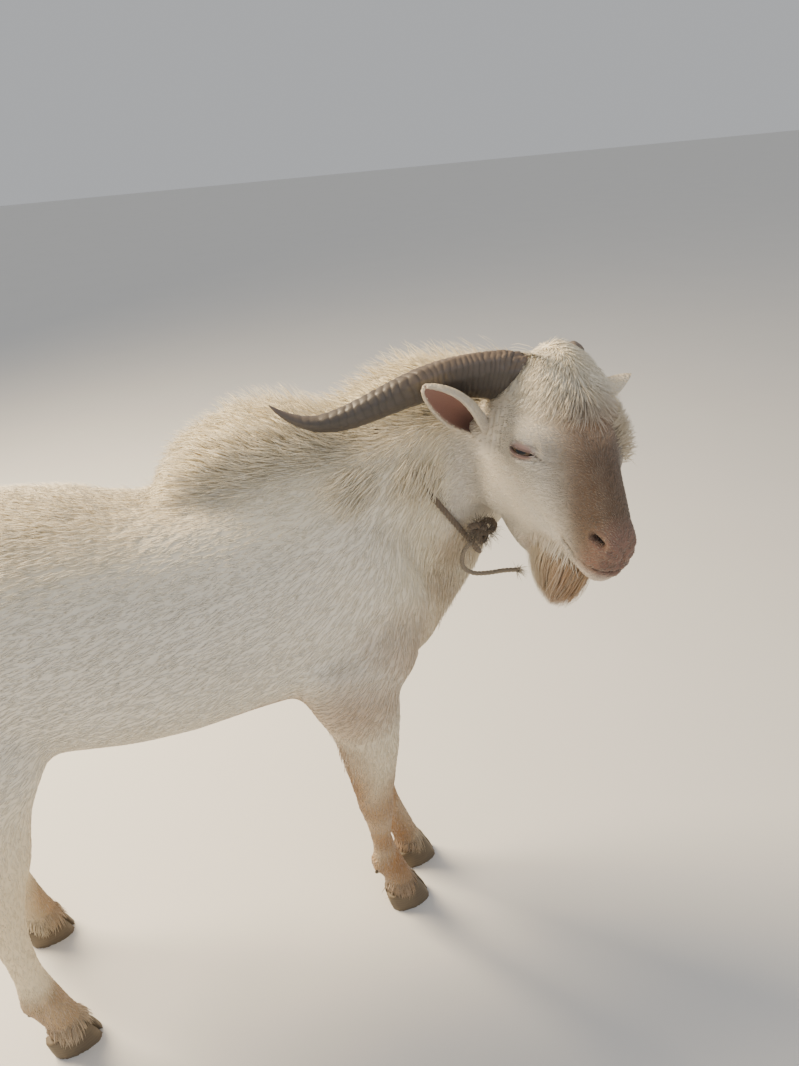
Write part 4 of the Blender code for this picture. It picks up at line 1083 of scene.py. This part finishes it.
# ---------------------------------------------------------------- horns, hooves, eyes
def make_horn(side, name):
    """A horn with growth rings, cracked grain and a wrinkled sheath at its base."""
    made = node_copy(f"horn_{name}", f"ringed_horn_{name}")
    finish_with(made, 'REMESH', mode='VOXEL', voxel_size=HORN_VOXEL, adaptivity=0.0)
    points = relax(read_points(made.data), read_edges(made.data), 0.5, 16)
    line = from_head(curve_between(HORN_LINES[side], 12))
    reach = np.append(0.0, np.cumsum(np.linalg.norm(np.diff(line, axis=0), axis=1)))
    _, share = near_line(points, line)
    along = np.interp(share * (len(line) - 1), np.arange(len(line)), reach)
    write_points(made.data, points)
    normals = read_points(made.data, "normal")
    upward = normals @ HEAD_TURN[:, 2]
    wobble = 0.0022 * ripple(points, 0.042, 5) + 0.0007 * ripple(points, 0.011, 15)
    phase = (along + wobble) / (RING_PITCH * (1.0 + 0.6 * along / reach[-1]))
    ridge = np.abs(np.sin(math.pi * phase)) ** 0.7
    ringed = fade(along, 0.16, 0.34) * (0.55 + 0.45 * smooth(upward, -0.8, 0.3))
    lift = 0.0012 * ringed * (ridge - 0.75) * (0.75 + 0.5 * ripple(points, 0.030, 16))
    sheath = fade(along, 0.018, 0.060) * smooth(upward, -0.2, 0.5)
    lift += sheath * 0.0015 * (ripple(points, 0.009, 6) + 0.7 * ripple(points, 0.005, 7))
    write_points(made.data, points + normals * lift[:, None])
    # painted light: the horn's upper faces are lighter, most of all near the root
    root_light = 0.85 * smooth(upward, -0.1, 0.7) * fade(along, 0.05, 0.20)
    # painted shade on the faces turned down, fading out towards the tip
    under = fade(upward, -0.7, 0.1) * fade(along, 0.25, 0.38)
    # groove is painted shade in the ring grooves, between the ridges
    for tint, values in {
            "groove": 0.60 * ringed * fade(ridge, 0.15, 0.7),
            "painted_top_light": np.clip(root_light + 0.25 * smooth(upward, 0, 1), 0, 1),
            "lower": 0.70 * under * (0.65 + 0.35 * ripple(points, 0.05, 8)),
            "tip": 0.7 * smooth(along, 0.26, 0.38),
            "grain": beside(along * 60.0, (points @ HEAD_TURN)[:, 0] * 900.0, upward * 9.0)}.items():
        write_tint(made.data, tint, values)
    shade(made)
    return made


def make_claw(node):
    """Half a cloven hoof with rounded edges and uneven growth lines, flat on the floor."""
    made = node_copy(node, node.replace("claw", "hoof"))
    finish_with(made, 'REMESH', mode='VOXEL', voxel_size=HOOF_VOXEL, adaptivity=0.0)
    points = read_points(made.data)
    low = points[:, 2].min()
    sole = points[:, 2] < low + 0.0012
    points = relax(points, read_edges(made.data), np.where(sole, 0.0, 0.5), 5)
    write_points(made.data, points)
    normals = read_points(made.data, "normal")
    height = points[:, 2] - low
    slant = height - 0.18 * points[:, 0] + 0.0008 * ripple(points, 0.02, 9)
    lines = 0.00006 * np.sin(2 * math.pi * slant / HOOF_LINE_PITCH) * smooth(height, 0.004, 0.009)
    points += normals * (lines * (1 - np.abs(normals[:, 2])))[:, None]
    points[:, 2] = np.maximum(points[:, 2], low)
    write_points(made.data, points)
    shade(made)
    return made


def make_dewclaws():
    """Two small hard claws behind each fetlock: one is modelled, the rest are copies."""
    bpy.ops.mesh.primitive_cone_add(vertices=14, radius1=0.0044, radius2=0.0024, depth=0.011)
    first = bpy.context.active_object
    open_for_editing(first)
    bpy.ops.mesh.bevel(offset=0.0015, segments=3, profile=0.6)
    bpy.ops.transform.resize(value=(1.15, 0.85, 1.0))
    bpy.ops.object.mode_set(mode='OBJECT')
    out = []
    backward = Matrix.Rotation(math.radians(205.0), 4, 'Y')
    for foot, (x, y, z) in enumerate(FETLOCKS):
        for turn in (-1, 1):
            mesh = first.data.copy()
            outward = Matrix.Rotation(math.radians(14.0 * turn), 4, 'X')
            spot = Matrix.Translation((x - 0.0165, y + 0.0100 * turn, z - 0.012))
            mesh.transform(GOAT @ spot @ backward @ outward)
            out.append(new_piece(f"dewclaw_{foot + 1}_{'right' if turn < 0 else 'left'}", mesh))
            shade(out[-1])
    bpy.data.objects.remove(first, do_unlink=True)
    return out


def make_eye(side, name):
    """An eyeball with a raised cornea, set in its lids."""
    bpy.ops.mesh.primitive_uv_sphere_add(segments=48, ring_count=32, radius=BALL_RADIUS, location=(0, 0, 0))
    made = bpy.context.active_object
    made.name = f"eyeball_{name}"
    points = read_points(made.data)
    gaze = points / BALL_RADIUS
    cornea = fade(np.hypot(gaze[:, 0], gaze[:, 1]), 0.3, 0.75) * (gaze[:, 2] > 0)
    points += gaze * (0.0008 * cornea)[:, None]
    gaze[gaze[:, 2] < 0, 0] += 2.0
    write_tint(made.data, "gaze", gaze)
    centre, axes = eye_frame(side)
    write_points(made.data, from_head(points @ axes.T + centre))
    point_outwards(made.data)
    shade(made)
    return made


# ---------------------------------------------------------------- the rope collar
def strands(name, line, closed, core, thick, lay, pale=0.0):
    """Three strands twisted round a middle line, as one mesh."""
    count = len(line)
    if closed:
        ahead = unit(np.roll(line, -1, 0) - np.roll(line, 1, 0))
        steps = np.linalg.norm(np.roll(line, -1, 0) - line, axis=1)
        lay = steps.sum() / max(1, round(steps.sum() / lay))
    else:
        ahead = unit(np.gradient(line, axis=0))
        steps = np.linalg.norm(np.diff(line, axis=0, append=line[-1:]), axis=1)
    reach = np.append(0.0, np.cumsum(steps)[:-1])
    guide = unit(np.cross(ahead, np.array([0.31, 0.22, 0.93])))
    other = np.cross(ahead, guide)
    made = []
    for strand in range(3):
        angle = 2 * math.pi * (reach / lay + strand / 3)
        path = line + core * (guide * np.cos(angle)[:, None] + other * np.sin(angle)[:, None])
        curve = bpy.data.curves.new(name, 'CURVE')
        curve.dimensions = '3D'
        curve.bevel_depth = thick
        curve.bevel_resolution = 2
        curve.use_fill_caps = not closed
        spline = curve.splines.new('POLY')
        spline.points.add(count - 1)
        spline.points.foreach_set("co", np.concatenate([path, np.ones((count, 1))], 1).ravel())
        spline.use_cyclic_u = closed
        made.append(new_piece(name, curve))
    for piece in made:
        select_only(piece)
        bpy.ops.object.convert(target='MESH')
    whole = join_into(made)
    point_outwards(whole.data, merge=0.00002)
    write_tint(whole.data, "pale", np.full(len(whole.data.vertices), pale))
    shade(whole)
    return whole


def collar_line():
    """The middle line of the collar, from the sections of its CAD node."""
    axis = unit(np.array([0.83, 0.0, 0.55]))
    centre = np.array([0.040, 0.0, 0.732]) + SHIFT
    up = np.cross(np.array([0.0, 1.0, 0.0]), axis)
    away = read_points(frame["nodes"]["collar_rope"].data) - centre
    angle = np.arctan2(away @ up, away[:, 1])
    section = np.round(angle / (2 * math.pi) * 30).astype(int) % 30
    stops = np.array([away[section == index].mean(0) for index in range(30)])
    knot = np.linalg.norm(stops + centre - SHIFT - np.array(KNOT_AT), axis=1)
    # it dips under the hair a little above the knot
    sunk = 0.0020 * smooth(knot, 0.02, 0.05) + 0.0175 * smooth(stops[:, 2], -0.030, 0.034)
    stops = stops * (1.0 - sunk / np.linalg.norm(stops, axis=1))[:, None] + centre
    return curve_between(np.vstack([stops, stops[:1]]), 9)[:-1]


def make_collar():
    """The twisted collar, its knot and its short end, each with the CAD node that it replaces."""
    turn = np.linspace(0, 2 * math.pi, 110, endpoint=False)
    trefoil = beside(np.sin(turn) + 1.6 * np.sin(2 * turn), -0.9 * np.sin(3 * turn),
                     np.cos(turn) - 1.6 * np.cos(2 * turn)) / 2.6
    knot = trefoil * np.array([0.0165, 0.0105, 0.0150]) + np.array(KNOT_AT) + SHIFT
    tail = curve_between(np.array(ROPE_END) + SHIFT, 9)
    pieces = [(strands("collar_twist", collar_line(), True, 0.0019, 0.0021, ROPE_LAY), "collar_rope"),
              (strands("collar_knot_turns", knot, True, 0.0020, 0.0024, 0.016), "collar_knot"),
              (strands("collar_end_twist", tail, False, 0.0014, 0.0017, 0.015, pale=0.25), "collar_end")]
    return pieces, make_fray(tail)


def make_fray(tail):
    """Frayed fibres at the end of the rope and round the knot."""
    chance = np.random.default_rng(5)
    back = unit(tail[-1] - tail[-8])
    count, knot_count, rings = 70, 420, 3
    ways = unit(back + 0.55 * chance.normal(size=(count, 3)))
    long = 0.012 * (0.5 + chance.random(count))
    start = tail[-1] - back * 0.003 + 0.0012 * chance.normal(size=(count, 3))
    round_way = unit(chance.normal(size=(knot_count, 3)))
    knot_start = np.array(KNOT_AT) + SHIFT + round_way * np.array([0.0150, 0.0100, 0.0140])
    ways = np.concatenate([ways, unit(round_way + 0.9 * chance.normal(size=(knot_count, 3)))])
    start = np.concatenate([start, knot_start])
    long = np.concatenate([long, 0.013 * (0.4 + chance.random(knot_count))])
    sag = np.array([0, 0, -0.0012]) / 3
    lines = np.stack([start + ways * (long * ring / rings)[:, None] + sag * ring ** 2
                      for ring in range(rings + 1)], 1)
    side = unit(np.cross(ways, np.array([0.3, 0.2, 0.93])))
    widths = 0.0007 * np.tile([1.0, 0.9, 0.7], (len(ways), 1))
    pale = np.append(np.full(count, 0.85), 0.25 * chance.random(knot_count))
    spots = 0.04 + 0.92 * chance.random((len(ways), 2))
    return grow("collar_fray", lines, side, np.cross(side, ways), widths, {"pale": pale}, spots)


# ---------------------------------------------------------------- put together
def fit_out(piece, made, slot, *nodes):
    """Gives a piece its material and its body, and hides the CAD nodes that it replaces; its slot is not
    used.
    """
    wear(piece, made)
    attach(piece, "root")
    if nodes:
        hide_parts(*nodes)


hide, body_points = make_skin()
fit_out(hide, skin_material(), "coat", *FLESH, "ear_left", "ear_right")
coat = Coat(hide, body_points)
coat.dress()
for piece in coat.pieces:
    fit_out(piece, coat.material, "coat", *(["beard"] if piece.name.startswith("beard") else []))
keratin, hoof_horn, wet, fibre = horn_material(), hoof_material(), eye_material(), rope_material()
for side, name in ((-1, "right"), (1, "left")):
    fit_out(make_horn(side, name), keratin, "horn", f"horn_{name}")
    fit_out(make_eye(side, name), wet, "eye", f"eye_{name}")
for node in FRONT_CLAWS + HIND_CLAWS:
    fit_out(make_claw(node), hoof_horn, "hoof", node)
for piece in make_dewclaws():
    fit_out(piece, hoof_horn, "hoof")
collar, fray = make_collar()
for piece, node in collar:
    fit_out(piece, fibre, "rope", node)
fit_out(fray, fibre, "rope")

# ---------------------------------------------------------------- studio
bpy.ops.mesh.primitive_grid_add(x_subdivisions=2, y_subdivisions=2, size=40.0, location=(0, 0, 0))
floor = bpy.context.active_object
floor.name = "studio_floor"
wear(floor, floor_material())

world = bpy.data.worlds.new("studio_air")
bpy.context.scene.world = world
world.use_nodes = True
world.node_tree.nodes["Background"].inputs["Color"].default_value = linear("#e3e5e8")
world.node_tree.nodes["Background"].inputs["Strength"].default_value = 0.62


def soft_light(name, spot, aim, size, power, colour):
    lamp = bpy.data.lights.new(name, 'AREA')
    lamp.size = size
    lamp.energy = power
    lamp.color = linear(colour)[:3]
    turn = (Vector(spot) - Vector(aim)).to_track_quat('Z', 'Y').to_matrix().to_4x4()
    new_piece(name, lamp).matrix_world = Matrix.Translation(spot) @ turn


soft_light("key_over_the_back", (-1.5, 1.3, 2.4), (0.0, 0.0, 0.6), 1.2, 235.0, "#ffe9c4")
soft_light("fill_by_the_camera", (0.6, -2.4, 1.9), (0.1, 0.0, 0.5), 2.2, 16.0, "#f1f4ff")

FOCAL = 800.0 / 1066.0                  # focal length as a share of the frame's height
PITCH = math.radians(27.4)
ROLL = math.atan(0.08)
CAMERA_AT = (-0.2144, -0.8980, 1.12)    # goat frame
ahead = Vector((0.2588, 0.9659, 0.0))
right = Vector((0.9659, -0.2588, 0.0))
up = Vector((0.0, 0.0, 1.0))
look = ahead * math.cos(PITCH) - up * math.sin(PITCH)
sunk = -(ahead * math.sin(PITCH) + up * math.cos(PITCH))
level = right * math.cos(ROLL) + sunk * math.sin(ROLL)
rise = right * math.sin(ROLL) - sunk * math.cos(ROLL)
lens = bpy.data.cameras.new("camera")
lens.sensor_fit = 'VERTICAL'
lens.sensor_height = 36.0
lens.lens = FOCAL * lens.sensor_height
camera = new_piece("camera", lens)
turned = Matrix((level, rise, -look)).transposed().to_4x4()
camera.matrix_world = GOAT @ Matrix.Translation(CAMERA_AT) @ turned
bpy.context.scene.camera = camera
